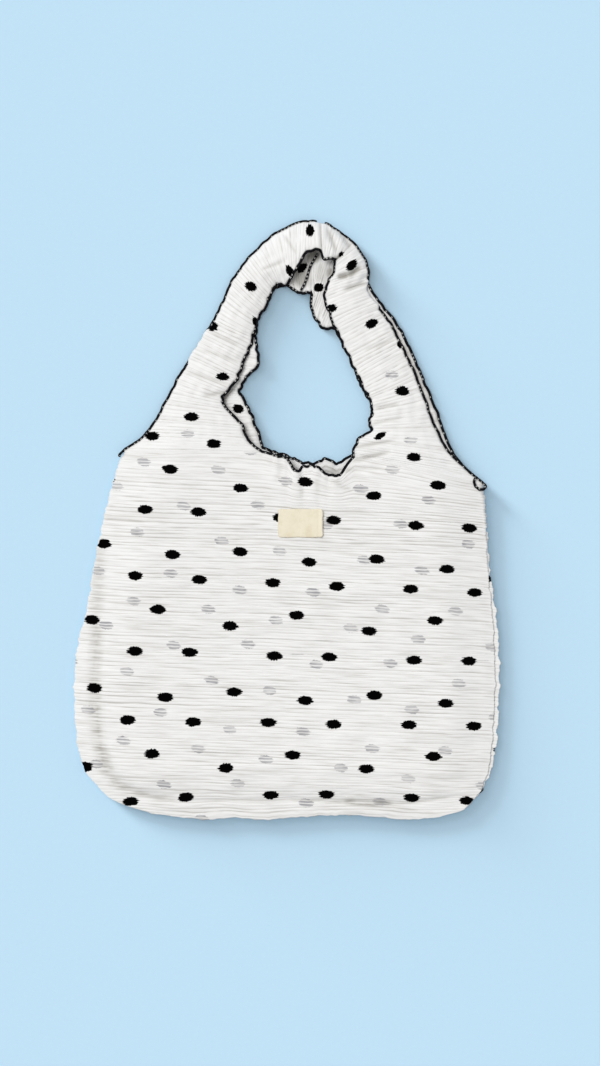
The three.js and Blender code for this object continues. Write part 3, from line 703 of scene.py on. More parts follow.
def fold_pleats(panel, body, strap):
    """Ridges and valleys whose height wanders along their line."""
    seed = panel["seed"]
    for grid, long_a in ((body, 120.0), (strap, 30.0)):
        count = len(grid["a"])
        depth = (0.25 + 0.75 * np.random.default_rng(seed + 30 + count).random(count))[:, None]
        line = np.array(PLEAT_ROWS)[np.arange(count) % len(PLEAT_ROWS)][:, None] * depth
        swell = 0.9 + 0.42 * wander2(grid["a"], 11.0 * grid["b"], seed + 40, 9, long_a, 60.0)
        fold = line * np.clip(swell, 0.3, 1.5)
        fade = ease((grid["edge"] - 0.5) / 4.5)
        grid["points"][..., 2] += PLEAT_HEIGHT * fold * fade
        grid["fold"] = fold * (0.4 + 0.6 * fade)
        grid["line"] = line
    sway = PLEAT_SWAY * wander2(body["a"], 3.0 * body["b"], seed + 41, 8, 90.0, 30.0)
    body["points"][1:-1, :, 1] += (sway * ease((body["edge"] - 0.5) / 6.0))[1:-1]


print("pleats about", PLEAT, "mm apart, most", 2 * PLEAT_HEIGHT, "mm deep")

# %% All folds of both panels


def fine_panel(panel):
    """The grids of a panel's body and strap with all their folds, and the row of the strap's seam."""
    body = body_grid(panel)
    strap = strap_grid(panel)
    wave_and_crease(panel, body, strap)
    fold_pleats(panel, body, strap)
    for grid in (body, strap):
        shove(grid["points"], FRONT_PUSHES if panel["folds"] else BACK_PUSHES)
    ruffle_body(panel, body)
    ruffle_strap(panel, strap)
    strap["points"][0] = body["points"][-1, :STRAP_COLUMNS + 1]
    strap["points"][-1] = body["points"][-1, ::-1][:STRAP_COLUMNS + 1]
    return body, strap, strap["seam_row"]


front_grids = fine_panel(FRONT)
back_grids = fine_panel(BACK)
print("rows of the front body and strap", front_grids[0]["a"].shape, front_grids[1]["a"].shape)

# %% [markdown]
# The print repeats: eight spots come again every 141 pixels both ways. Laid on a flat grid, the spots
# would miss the photo's, since the cloth is drawn in towards the neck and dips at the hem. So each
# point of the body gets its place in the repeat from a short formula, kept as a UV layer. The few spots
# of the straps lie apart from that grid and are placed one by one later.

# %% Place in the printed repeat
FIRST_SPOT = (271.0, 655.5)
HEM_PIXEL = 800.0
NECK_PIXEL = 484.0
REPEAT_WIDE = 140.5
REPEAT_BELOW = 141.0
REPEAT_ABOVE = 138.0


def print_place(points):
    """Where points of the body lie in the printed repeat, counted in repeats."""
    px, py = pixel_of(points)
    below_neck = bump(py - NECK_PIXEL, 20.0)
    at_hem = bump(py - HEM_PIXEL, 18.0)
    py = py - 5.0 * bump(px - 306.0, 65.0) * below_neck
    px = px - (3.5 - 2.0 * ease((px - 320.0) / 120.0)) * below_neck
    py = py + (2.5 - 8.0 * ((px - 300.0) / 170.0) ** 2) * at_hem
    t = (HEM_PIXEL - py) / 285.0
    u = (px - FIRST_SPOT[0] - 4.5 * t - 4.5 * t * t) / (REPEAT_WIDE - 5.0 * t * t)
    tall = np.where(py > FIRST_SPOT[1], REPEAT_BELOW, REPEAT_ABOVE)
    v = (FIRST_SPOT[1] - py) / tall
    slope = np.where(v < 0, 4.5 * (1 + v), np.minimum(4.5 + 4.0 * v, 8.0))
    return np.stack([u, (FIRST_SPOT[1] - py + slope * u) / tall], -1)


print("first spot of the repeat", print_place(np.array([-13.5, -184.1, 0.0])).round(2))

# %% [markdown]
# The cloth has two faces and a thin edge. A Solidify modifier would thicken the grids, but it leaves
# one wall everywhere and lets them sink into the floor. Here the upper and the lower face are laid
# half a wall off the grid, the wall thins out at the free edges, and a rim closes the sheet.

# %% A mesh object from points and quads


def mesh_object(name, vertices, faces, flat=False):
    """A mesh object from points and quads."""
    mesh = bpy.data.meshes.new(name)
    mesh.vertices.add(len(vertices))
    mesh.vertices.foreach_set("co", np.asarray(vertices, np.float32).ravel())
    faces = np.asarray(faces, np.int32)
    mesh.loops.add(faces.size)
    mesh.loops.foreach_set("vertex_index", faces.ravel())
    mesh.polygons.add(len(faces))
    mesh.polygons.foreach_set("loop_start", np.arange(0, faces.size, faces.shape[1], dtype=np.int32))
    mesh.update(calc_edges=True)
    mesh.validate()
    mesh.polygons.foreach_set("use_smooth", np.full(len(mesh.polygons), not flat))
    made = bpy.data.objects.new(name, mesh)
    scene.collection.objects.link(made)
    return made


print("meshes so far", len(bpy.data.meshes))

# %% Faces and coordinates


def grid_quads(index):
    """The quads between the rows and columns of a grid of point numbers."""
    corners = (index[:-1, :-1], index[:-1, 1:], index[1:, 1:], index[1:, :-1])
    return np.stack(corners, -1).reshape(-1, 4)


def rim_quads(quads, count):
    """The quads that join the free edge of the upper face to that of the lower one."""
    sides = np.stack([quads, np.roll(quads, -1, axis=1)], -1).reshape(-1, 2)
    key = sides.min(1).astype(np.int64) * count + sides.max(1)
    _, first, uses = np.unique(key, return_index=True, return_counts=True)
    rim = sides[first[uses == 1]]
    return np.column_stack([rim[:, 1], rim[:, 0], rim[:, 0] + count, rim[:, 1] + count])


def lay_uv(made, name, at_points, ring=False):
    """A UV layer from the coordinates of each point."""
    corner = np.empty(len(made.data.loops), np.int32)
    made.data.loops.foreach_get("vertex_index", corner)
    corners = at_points[corner]
    if ring:
        # a face that spans the start of the ring takes 1 in place of 0
        corners = corners.reshape(-1, 4, 2)
        around = corners[..., 1]
        spans = around.max(1) - around.min(1) > 0.5
        corners[..., 1] += spans[:, None] & (around < 0.5)
    data = made.data.uv_layers.new(name=name).data
    data.foreach_set("uv", corners.astype(np.float32).ravel())


print("quads of a grid of 3 by 4 points", len(grid_quads(np.arange(12).reshape(3, 4))))

# %% The closed sheet
ABOVE_PAPER = 0.05
EDGE_WALL = 0.62


def sheet_mesh(name, grids, wall):
    """A closed thin sheet from a body grid and a strap grid that share the body's top row."""
    body, strap, _ = grids
    rows, across = body["a"].shape
    strips = strap["a"].shape[0]
    body_index = np.arange(rows * across).reshape(rows, across)
    fresh = np.arange((strips - 2) * (STRAP_COLUMNS + 1)).reshape(strips - 2, -1) + rows * across
    left_row = body_index[-1, :STRAP_COLUMNS + 1]
    right_row = body_index[-1, ::-1][:STRAP_COLUMNS + 1]
    strap_index = np.vstack([left_row, fresh, right_row])
    quads = np.concatenate([grid_quads(body_index), grid_quads(strap_index)])

    def gather(key):
        parts = (body[key], strap[key][1:-1])
        return np.concatenate([part.reshape(-1, *part.shape[2:]) for part in parts])

    points = gather("points")
    p = points[quads]
    across_face = np.cross(p[:, 2] - p[:, 0], p[:, 3] - p[:, 1])
    normal = np.zeros_like(points)
    for k in range(4):
        np.add.at(normal, quads[:, k], across_face)
    edge = gather("edge")
    half = (wall / 2 * (EDGE_WALL + (1 - EDGE_WALL) * ease(edge / 2.5)))[:, None]
    away = unit(normal) * half
    both_sides = np.concatenate([points + away, points - away])
    both_sides[:, 2] = np.maximum(both_sides[:, 2], ABOVE_PAPER)
    count = len(points)
    faces = np.concatenate([quads, quads[:, ::-1] + count, rim_quads(quads, count)])

    made = mesh_object(name, (both_sides + SHIFT) * MM, faces)
    lay_uv(made, "print", np.tile(print_place(points), (2, 1)))
    lay_uv(made, "cloth", np.tile(np.stack([gather("a"), gather("b")], -1) * MM, (2, 1)))
    # the crease mask tells the material where to paint shade
    masks = {"strap": gather("strap"), "edge": edge * MM, "fold": gather("fold"), "crease": gather("crease")}
    for mask, values in masks.items():
        both = np.tile(values, 2).astype(np.float32)
        made.data.attributes.new(mask, "FLOAT", "POINT").data.foreach_set("value", both)
    print(name, 2 * count, "points", 2 * len(faces), "triangles")
    return made


# %% Both panels
front = sheet_mesh("front_cloth", front_grids, CLOTH)
back = sheet_mesh("back_cloth", back_grids, CLOTH)

# %% [markdown]
# An overlock machine binds the raw edges: black thread runs over them in close stitches, and specks of the
# white cloth show between. A curve with a round bevel could follow the edge, but it would be smooth.
# So each binding is a tube built ring by ring along the ruffled edge, a little thicker at each stitch.
# A UV layer keeps the place along and round the tube, so the material can put the specks on the side
# towards the cloth.

# %% Paths of the threads
BINDING_RADIUS = 1.2
BINDING_GAP = 0.12


def resample(path, spacing, closed=False):
    """Evenly spaced points along a path."""
    path = np.vstack([path, path[:1]]) if closed else np.asarray(path)
    length = lengths(path)
    count = max(int(round(length[-1] / spacing)), 4)
    at = np.linspace(0, length[-1], count + 1)
    if closed:
        at = at[:-1]
    return np.stack([np.interp(at, length, path[:, k]) for k in range(3)], -1), at


def soften(path, times, closed=False):
    """A path with its small corners rounded."""
    path = path.copy()
    for _ in range(times):
        before = np.roll(path, 1, axis=0)
        after = np.roll(path, -1, axis=0)
        mean = 0.25 * before + 0.5 * path + 0.25 * after
        if not closed:
            mean[0] = path[0]
            mean[-1] = path[-1]
        path = mean
    return path


def directions(path, closed):
    """The direction of a path at each of its points."""
    tangent = np.roll(path, -1, axis=0) - np.roll(path, 1, axis=0)
    if not closed:
        tangent[0] = path[1] - path[0]
        tangent[-1] = path[-1] - path[-2]
    return unit(tangent)


print("even steps", len(resample(np.eye(3), 0.5)[0]))

# %% A stitched tube
STITCH = 1.5
STITCH_SWELL = 0.045


def thread_tube(path, radius, closed, flip=False, sides=10, spacing=0.4):
    """Points, quads, and the coordinates along and round a stitched thread."""
    path, at = resample(path, spacing, closed)
    path = soften(path, 3, closed)
    tangent = directions(path, closed)
    side = unit(np.cross([0, 0, 1.0], tangent))
    rise = np.cross(tangent, side)
    turn = np.linspace(0, 2 * np.pi, sides, endpoint=False)
    swell = 1 + STITCH_SWELL * np.cos(2 * np.pi * at[:, None] / STITCH + turn[None, :])
    swell = swell * (1 + 0.05 * wander(at, len(at), 4, 12.0))[:, None]
    if not closed:
        taper = ease((np.minimum(at, at[-1] - at) + 0.25) / 1.0)
        swell = swell * taper[:, None]
    ring = (radius * swell)[..., None] * (
        np.cos(turn)[None, :, None] * side[:, None, :] + np.sin(turn)[None, :, None] * rise[:, None, :]
    )
    points = (path[:, None, :] + ring).reshape(-1, 3)
    points[:, 2] = np.maximum(points[:, 2], ABOVE_PAPER)
    count = len(path)
    index = np.arange(count * sides).reshape(count, sides)
    nxt = np.roll(index, -1, axis=0) if closed else index[1:]
    now = index if closed else index[:-1]
    quads = np.stack([now, np.roll(now, -1, 1), np.roll(nxt, -1, 1), nxt], -1).reshape(-1, 4)
    if not closed:
        caps = []
        for end, order in ((index[0], -1), (index[-1], 1)):
            for k in range(1, sides - 2, 2):
                caps.append(end[[0, k, k + 1, k + 2]][::order])
        quads = np.concatenate([quads, np.array(caps)])
    along = np.repeat(at, sides)
    around = turn / (2 * np.pi)
    around = np.tile((0.5 - around) % 1.0 if flip else around, count)
    return points, quads, along, around


print("stitches", STITCH, "mm apart")

# %% Edges that carry a thread
TURNED_DROP = 2.1


def edge_path(grids, which):
    """The line of the thread along an edge of a panel, moved out past the cloth."""
    body, strap, seam_row = grids
    reach = BINDING_RADIUS + BINDING_GAP
    turned = 0.0
    if which == "neck":
        line = body["points"][-1, STRAP_COLUMNS + 1:-STRAP_COLUMNS - 1]
        inside = body["points"][-3, STRAP_COLUMNS + 1:-STRAP_COLUMNS - 1]
        line = np.vstack([line, strap["points"][::-1, -1]])
        inside = np.vstack([inside, strap["points"][::-1, -3]])
    elif which == "left":
        line = strap["points"][:seam_row - 1, 0]
        inside = strap["points"][:seam_row - 1, 2]
        turned = strap["turned"][:seam_row - 1, None]
    else:
        line = strap["points"][:seam_row + 4:-1, 0]
        inside = strap["points"][:seam_row + 4:-1, 2]
        turned = strap["turned"][:seam_row + 4:-1, None]
    closed = which == "neck"
    tangent = directions(line, closed)
    out = line - inside
    out = unit(out - (out * tangent).sum(1)[:, None] * tangent)
    out = unit(soften(out, 6, closed))
    return line + out * (reach - TURNED_REACH * turned) - np.array([0, 0, TURNED_DROP]) * turned


print("points along the front neck", len(edge_path(front_grids, "neck")))

# %% One object from several tubes


def thread_object(name, tubes):
    """One object from several stitched tubes."""
    points = []
    quads = []
    coordinates = []
    start = 0
    for tube_points, tube_quads, along, around in tubes:
        points.append(tube_points)
        quads.append(tube_quads + start)
        coordinates.append(np.stack([along * MM, around], -1))
        start += len(tube_points)
    made = mesh_object(name, (np.concatenate(points) + SHIFT) * MM, np.concatenate(quads))
    lay_uv(made, "thread", np.concatenate(coordinates), ring=True)
    print(name, 2 * len(made.data.polygons), "triangles")
    return made


# %% Bind the edges
LEFT_TAIL = table("px py z", [(119.8, 457.0, 4.6), (119.0, 454.8, 5.0), (121.0, 452.8, 5.6)])
RIGHT_CURL = table("px py z", [
    (475.4, 477.6, 8.6), (473.8, 481.6, 8.6), (475.4, 486.4, 8.4),
    (479.4, 489.6, 8.0), (484.0, 489.4, 7.4), (486.2, 486.0, 6.6),
])


def armhole(name, which, tail):
    """The thread of both outer edges on one side, the front one with its loose end."""
    x, y = at_pixel(tail["px"], tail["py"])
    loose = np.column_stack([x, y, tail["z"]])
    flip = which == "right"
    return thread_object(name, [
        thread_tube(np.vstack([loose, edge_path(front_grids, which)[1:]]), BINDING_RADIUS, False, flip),
        thread_tube(edge_path(back_grids, which)[2:], BINDING_RADIUS, False, flip),
    ])


front_neck = thread_object("front_neck_thread", [
    thread_tube(edge_path(front_grids, "neck"), BINDING_RADIUS, True),
])
back_neck = thread_object("back_neck_thread", [
    thread_tube(edge_path(back_grids, "neck"), BINDING_RADIUS, True),
])
left_armhole = armhole("left_armhole_thread", "left", LEFT_TAIL)
right_armhole = armhole("right_armhole_thread", "right", RIGHT_CURL)

# %% [markdown]
# Each strap is closed by a seam near its top, and the overlocked edge of that seam lies across the inside
# of the strap. It could be painted on, but it stands up from the cloth and casts a shadow, so it's one
# more stitched tube. The back one shows in the photo. The front one lies under the front strap.

# %% Strap seams
SEAM_RADIUS = 1.1
SEAM_STANDS = 1.25
BACK_SEAM = table("px py", [
    (318.0, 253.0), (313.0, 260.0), (309.5, 267.0), (307.5, 275.0), (305.0, 283.0), (300.5, 290.5),
])


def strap_seam(name, grids, line, side):
    """The overlocked seam allowance across the inside of a strap."""
    points = grids[1]["points"].reshape(-1, 3)
    path, _ = resample(np.column_stack([line, np.zeros(len(line))]), 2.0)
    gap = np.linalg.norm(path[:, None, :2] - points[None, :, :2], axis=2)
    path[:, 2] = points[gap.argmin(1), 2] + side * (CLOTH / 2 + SEAM_STANDS)
    path = soften(path, 6)
    return thread_object(name, [thread_tube(path, SEAM_RADIUS, False)])


front_line = front_grids[1]["points"][front_grids[2], 3:-3, :2]
back_line = np.column_stack(at_pixel(BACK_SEAM["px"], BACK_SEAM["py"]))
front_seam = strap_seam("front_seam_thread", front_grids, front_line, -1)
back_seam = strap_seam("back_seam_thread", back_grids, back_line, 1)

# %% [markdown]
# The label is a piece of woven tape, sewn on at its left end and lifted a little at its right end, where
# it's folded under. A cube with a bevel would look stiff, so a fine grid is bent a little, its corners
# are rounded, and a groove marks the fold.

# %% Label
LABEL_WIDTH = 40.0
LABEL_HEIGHT = 25.5
LABEL_CORNER = 2.2
LABEL_LIFT = 0.9
LABEL_TOP = 0.75
LABEL_UNDER = 0.12
FOLD_AT = 0.41
FOLD_DEPTH = 0.55


def label_object():
    """A thin tape with rounded corners, a folded right end and slightly uneven sides."""
    x, y = np.meshgrid(np.linspace(-0.5, 0.5, 41) * LABEL_WIDTH, np.linspace(-0.5, 0.5, 25) * LABEL_HEIGHT)
    x = x + 0.25 * wander(y, 5, 4, 22.0) * (np.abs(x) / LABEL_WIDTH * 2) ** 4
    y = y + 0.2 * wander(x, 6, 4, 30.0) * (np.abs(y) / LABEL_HEIGHT * 2) ** 4
    over_x = np.maximum(np.abs(x) - LABEL_WIDTH / 2 + LABEL_CORNER, 0)
    over_y = np.maximum(np.abs(y) - LABEL_HEIGHT / 2 + LABEL_CORNER, 0)
    pull = np.maximum(over_x, over_y) / (np.hypot(over_x, over_y) + 1e-9)
    pull = np.where((over_x > 0) & (over_y > 0), pull, 1.0)
    x = x - np.sign(x) * over_x * (1 - pull)
    y = y - np.sign(y) * over_y * (1 - pull)
    right = x / LABEL_WIDTH + 0.5
    lift = LABEL_LIFT * ease((right - 0.8) / 0.2) + 0.12 * wander(x, 7, 4, 26.0)
    groove = -FOLD_DEPTH * bump(x - LABEL_WIDTH * FOLD_AT, 0.7)
    corner = np.maximum(np.abs(x) - LABEL_WIDTH / 2 + 1.5, 0)
    corner = corner + np.maximum(np.abs(y) - LABEL_HEIGHT / 2 + 1.5, 0)
    round_off = -0.25 * ease(corner / 2.5)
    top = BAG_DEPTH + SEAM_GAP + LABEL_TOP + lift + groove + round_off
    low = np.minimum(BAG_DEPTH + LABEL_UNDER + 0.8 * lift, top - 0.3)
    sides = [np.stack([x + LABEL_OFFSET, y - LABEL_BELOW_SHOULDER, z], -1) for z in (top, low)]
    points = np.concatenate(sides).reshape(-1, 3)
    count = x.size
    index = np.arange(count).reshape(x.shape)
    faces = grid_quads(index)
    ring = np.concatenate([index[0, :-1], index[:-1, -1], index[-1, :0:-1], index[:0:-1, 0]])
    after = np.roll(ring, -1)
    rim = np.column_stack([after, ring, ring + count, after + count])
    faces = np.concatenate([faces, faces[:, ::-1] + count, rim])
    return mesh_object("label_tape", (points + SHIFT) * MM, faces)


label = label_object()
print("label", len(label.data.polygons), "faces")

# %% [markdown]
# The finishes are built from shader nodes, with no image. Nodes could be clicked together by hand, but a
# small class that adds and links them keeps the script short and easy to read.

# %% Node helpers


class Nodes:
    """Short ways to add shader nodes to a tree."""

    def __init__(self, tree):
        self.tree = tree

    def add(self, kind, **settings):
        node = self.tree.nodes.new(kind)
        for key, value in settings.items():
            setattr(node, key, value)
        return node

    def link(self, source, target):
        if isinstance(source, (int, float, tuple, list)):
            target.default_value = source
        else:
            self.tree.links.new(source, target)

    def math(self, operation, a, b=0.0, clamp=False):
        node = self.add("ShaderNodeMath", operation=operation, use_clamp=clamp)
        self.link(a, node.inputs[0])
        self.link(b, node.inputs[1])
        return node.outputs[0]

    def vector(self, operation, a, b=(0.0, 0.0, 0.0)):
        node = self.add("ShaderNodeVectorMath", operation=operation)
        self.link(a, node.inputs[0])
        self.link(b, node.inputs[1])
        return node.outputs["Value" if operation in ("DOT_PRODUCT", "LENGTH") else "Vector"]

    def ramp(self, value, low, high, to_low=0.0, to_high=1.0, kind="SMOOTHSTEP"):
        node = self.add("ShaderNodeMapRange", interpolation_type=kind)
        self.link(value, node.inputs["Value"])
        node.inputs["From Min"].default_value = low
        node.inputs["From Max"].default_value = high
        node.inputs["To Min"].default_value = to_low
        node.inputs["To Max"].default_value = to_high
        return node.outputs["Result"]

    def noise(self, vector, scale, detail=2.0, rough=0.5):
        node = self.add("ShaderNodeTexNoise")
        self.link(vector, node.inputs["Vector"])
        node.inputs["Scale"].default_value = scale
        node.inputs["Detail"].default_value = detail
        node.inputs["Roughness"].default_value = rough
        return node.outputs["Fac"]

    def mix(self, fac, a, b):
        node = self.add("ShaderNodeMix", data_type="RGBA")
        self.link(fac, node.inputs["Factor"])
        self.link(a, node.inputs["A"])
        self.link(b, node.inputs["B"])
        return node.outputs["Result"]

    def uv(self, name):
        return self.add("ShaderNodeUVMap", uv_map=name).outputs["UV"]

    def attribute(self, name):
        return self.add("ShaderNodeAttribute", attribute_name=name).outputs["Fac"]

    def place(self):
        return self.add("ShaderNodeTexCoord").outputs["Object"]

    def relief(self, height, strength, distance, shader):
        node = self.add("ShaderNodeBump")
        node.inputs["Strength"].default_value = strength
        node.inputs["Distance"].default_value = distance
        self.link(height, node.inputs["Height"])
        self.link(node.outputs["Normal"], shader.inputs["Normal"])


print("node helpers", len([word for word in dir(Nodes) if word[0] != "_"]))

# %% New groups and materials
FLOAT = "NodeSocketFloat"
VECTOR = "NodeSocketVector"
DULL = 0.02


def new_group(name, inputs, outputs):
    """An empty node group with named inputs and outputs."""
    group = bpy.data.node_groups.new(name, "ShaderNodeTree")
    for socket_name, kind, value in inputs:
        socket = group.interface.new_socket(name=socket_name, in_out="INPUT", socket_type=kind)
        if value is not None:
            socket.default_value = value
    for socket_name, kind in outputs:
        group.interface.new_socket(name=socket_name, in_out="OUTPUT", socket_type=kind)
    return group, group.nodes.new("NodeGroupInput"), group.nodes.new("NodeGroupOutput")


def new_material(name, color, roughness):
    """A material with its principled shader, and the colour shown in the viewport."""
    material = bpy.data.materials.new(name)
    material.use_nodes = True
    material.diffuse_color = (*color, 1.0)
    shader = material.node_tree.nodes["Principled BSDF"]
    shader.inputs["Roughness"].default_value = roughness
    shader.inputs["Specular IOR Level"].default_value = DULL
    return material, Nodes(material.node_tree), shader


print("materials so far", len(bpy.data.materials))

# %% [markdown]
# The dyed spots are ovals about 14 by 8 mm, and their ends are ragged, since the dye runs along the
# threads. They could be one picture, but a group of nodes stays sharp at any size. It measures how far
# a point lies from the spot's centre, in a repeat or alone, and the ragged offset shakes that distance
# along the spot's own long axis.

# %% Oval spot group
spot_group, group_in, group_out = new_group(
    "oval_spot",
    [("Place", VECTOR, None), ("Ragged", VECTOR, None), ("Centre", VECTOR, None),
     ("Cell", VECTOR, (1.0, 1.0, 0.0)), ("Wrap", FLOAT, 1.0), ("Half width", FLOAT, 0.0072),
     ("Half height", FLOAT, 0.0042), ("Turn", FLOAT, 0.0)],
    [("Mask", FLOAT)],
)
g = Nodes(spot_group)
offset = g.vector("SUBTRACT", group_in.outputs["Place"], group_in.outputs["Centre"])
HALF = (0.5, 0.5, 0.5)
wrapped = g.vector("FRACTION", g.vector("ADD", offset, HALF))
wrapped = g.vector("SUBTRACT", g.vector("SUBTRACT", wrapped, HALF), offset)
wrap_scale = g.add("ShaderNodeVectorMath", operation="SCALE")
g.link(wrapped, wrap_scale.inputs[0])
g.link(group_in.outputs["Wrap"], wrap_scale.inputs["Scale"])
offset = g.vector("ADD", offset, wrap_scale.outputs["Vector"])
offset = g.vector("MULTIPLY", offset, group_in.outputs["Cell"])
rotate = g.add("ShaderNodeVectorRotate", rotation_type="Z_AXIS")
g.link(offset, rotate.inputs["Vector"])
g.link(group_in.outputs["Turn"], rotate.inputs["Angle"])
parts = g.add("ShaderNodeSeparateXYZ")
g.link(g.vector("ADD", rotate.outputs["Vector"], group_in.outputs["Ragged"]), parts.inputs[0])
wide = g.math("ABSOLUTE", g.math("DIVIDE", parts.outputs["X"], group_in.outputs["Half width"]))
tall = g.math("ABSOLUTE", g.math("DIVIDE", parts.outputs["Y"], group_in.outputs["Half height"]))
far = g.math("ADD", g.math("POWER", wide, 2.0), g.math("POWER", tall, 2.0))
g.link(g.ramp(far, 1.12, 0.88), group_out.inputs["Mask"])
print("group", spot_group.name)

# %% [markdown]
# Between the folds of the mesh, the real cloth has lines finer than any mesh here. This group paints them
# as shade, from noise that is stretched along the pleats. It gives the painted shade of the valleys and
# these lines, the streaks through which the other panel shows, a height for the bump, and the ragged
# offset of the spots.

# %% Pleat and weave group
pleat_group, group_in, group_out = new_group(
    "pleat_lines",
    [("Cloth", VECTOR, None), ("Fold", FLOAT, 0.0)],
    [("Shade", FLOAT), ("Streak", FLOAT), ("Height", FLOAT), ("Ragged", VECTOR)],
)
g = Nodes(pleat_group)
cloth = group_in.outputs["Cloth"]
fold = group_in.outputs["Fold"]
fine_lines = g.noise(g.vector("MULTIPLY", cloth, (40.0, 900.0, 1.0)), 1.0, 2.0, 0.6)
broad_lines = g.noise(g.vector("MULTIPLY", cloth, (12.0, 200.0, 1.0)), 1.0, 2.0, 0.5)
patches = g.noise(cloth, 16.0, 2.0, 0.5)
# painted shade: darker in the pleat valleys and along the fine lines
valley = g.ramp(fold, 0.15, -0.85)
shade = g.math("MULTIPLY", valley, g.ramp(patches, 0.3, 0.7, 0.55, 1.0))
shade = g.math("MULTIPLY", shade, 0.9)
shade = g.math("ADD", shade, g.math("MULTIPLY", g.ramp(fine_lines, 0.56, 0.34), 0.3))
shade = g.math("ADD", shade, g.math("MULTIPLY", g.ramp(broad_lines, 0.5, 0.3), 0.22))
g.link(shade, group_out.inputs["Shade"])
streak = g.math("ADD", fold, g.math("MULTIPLY", g.math("SUBTRACT", fine_lines, 0.5), 1.2))
g.link(g.ramp(streak, 0.78, 0.05), group_out.inputs["Streak"])
weave = g.add("ShaderNodeTexWave", wave_type="BANDS", bands_direction="X")
g.link(cloth, weave.inputs["Vector"])
weave.inputs["Scale"].default_value = 420.0
weave.inputs["Distortion"].default_value = 1.5
height = g.math("ADD", g.math("MULTIPLY", fine_lines, 0.8), g.math("MULTIPLY", broad_lines, 0.8))
g.link(g.math("ADD", height, g.math("MULTIPLY", weave.outputs["Fac"], 0.06)), group_out.inputs["Height"])
ragged = g.add("ShaderNodeCombineXYZ")
steps = g.noise(g.vector("MULTIPLY", cloth, (60.0, 1300.0, 1.0)), 1.0, 1.0, 0.4)
sides = g.noise(g.vector("MULTIPLY", cloth, (800.0, 200.0, 1.0)), 1.0, 1.0, 0.4)
g.link(g.math("MULTIPLY", g.math("SUBTRACT", steps, 0.5), 0.0062), ragged.inputs["X"])
g.link(g.math("MULTIPLY", g.math("SUBTRACT", sides, 0.5), 0.0020), ragged.inputs["Y"])
g.link(ragged.outputs[0], group_out.inputs["Ragged"])
print("group", pleat_group.name)

# %% [markdown]
# The places of the spots were read off the photo. Two charts hold the repeat of the front print and of the
# grey spots that show through from the back, in shares of the repeat. The others hold single spots:
# the pixel, the angle of the long axis in degrees, and the half sizes in mm.

# %% Charts of the repeats
REPEAT = table("u v", [
    (0.000, 0.000), (0.394, 0.005), (0.720, -0.262), (0.230, -0.310),
    (-0.030, -0.472), (0.435, -0.477), (0.675, -0.795), (0.149, -0.700),
])
THROUGH = table("u v", [
    (0.000, 0.000), (0.516, -0.078), (-0.311, 0.230), (0.283, 0.213),
    (-0.057, 0.490), (0.433, 0.545), (-0.301, 0.725), (0.223, 0.711),
])
print("spots in a repeat", len(REPEAT["u"]))

# %% Charts of single spots
FRONT_SPOTS = table("px py angle wide tall", [
    (152.0, 436.0, 0, 6.7, 4.1), (191.5, 417.0, -3, 6.7, 4.1), (214.0, 444.0, 0, 6.4, 4.0),
    (223.0, 376.6, -5, 5.8, 3.6), (212.5, 326.3, -10, 5.0, 4.3), (250.7, 286.5, -25, 6.0, 4.2),
    (255.5, 322.0, -70, 4.8, 2.6), (290.0, 271.5, -58, 6.2, 3.2), (310.0, 231.0, 88, 5.9, 3.9),
    (341.0, 254.7, 40, 2.8, 1.7), (351.5, 265.8, 45, 6.4, 3.7), (331.5, 308.3, 5, 5.0, 3.5),
    (371.6, 323.7, 25, 6.2, 4.0), (399.7, 345.0, -60, 3.4, 1.9), (357.0, 379.0, -60, 3.0, 1.8),
    (402.0, 391.0, 3, 6.2, 4.5), (380.0, 436.0, 28, 5.9, 2.8), (413.7, 457.3, -2, 6.5, 3.9),
])
BACK_SPOTS = table("px py angle wide tall", [
    (238.0, 408.5, -10, 5.3, 4.0), (302.0, 267.5, 45, 5.4, 3.4), (318.8, 287.0, 5, 4.4, 4.0),
    (489.0, 579.0, 0, 3.5, 3.0), (495.0, 750.0, 0, 1.6, 1.6), (482.5, 792.0, 45, 4.0, 1.8),
])
STRAP_THROUGH = table("px py angle wide tall", [
    (188.0, 434.0, 0, 5.6, 3.8), (410.5, 440.5, 0, 6.0, 3.4), (391.5, 375.0, 0, 5.6, 3.8),
])
print("single spots", len(FRONT_SPOTS["px"]) + len(BACK_SPOTS["px"]))

# %% [markdown]
# The cloth is white crinkled polyester and quite dull. A plain white would look like paper, so its colour
# goes from a light ridge to a painted shade in the valley, and the deep creases get a painted warm grey
# shade that breaks up along the pleats. On the back the same painted shade darkens the inside of the
# strap and the cloth under the front strap's edge. Black spots lie on top, and on the front the back's
# spots show through as grey streaks.

# %% Spots on a cloth
REPEAT_CELL = (0.1262, 0.126, 0.0)
THROUGH_CELL = (0.1278, -0.1254, 0.0)
ALONE = (1.0, 1.0, 0.0)
SPOT_HALF = (0.0071, 0.0042)
THROUGH_HALF = (0.0063, 0.0039)


def lay_spot(n, ragged, place, centre, cell, wrap, half, turn):
    """The mask of one oval spot, which comes again in every cell when wrap is 1."""
    spot = n.add("ShaderNodeGroup", node_tree=spot_group)
    n.link(place, spot.inputs["Place"])
    n.link(ragged, spot.inputs["Ragged"])
    values = {"Centre": (*centre, 0.0), "Cell": cell, "Wrap": wrap, "Turn": turn,
              "Half width": half[0], "Half height": half[1]}
    for socket, value in values.items():
        spot.inputs[socket].default_value = value
    return spot.outputs["Mask"]


def repeated_spots(n, ragged, place, chart, cell, half):
    """All spots of a repeat, on the body alone."""
    total = 0.0
    for centre in zip(chart["u"], chart["v"]):
        total = n.math("MAXIMUM", total, lay_spot(n, ragged, place, centre, cell, 1.0, half, 0.0))
    return n.math("MULTIPLY", total, n.ramp(n.attribute("strap"), 0.9, 0.1, kind="LINEAR"))


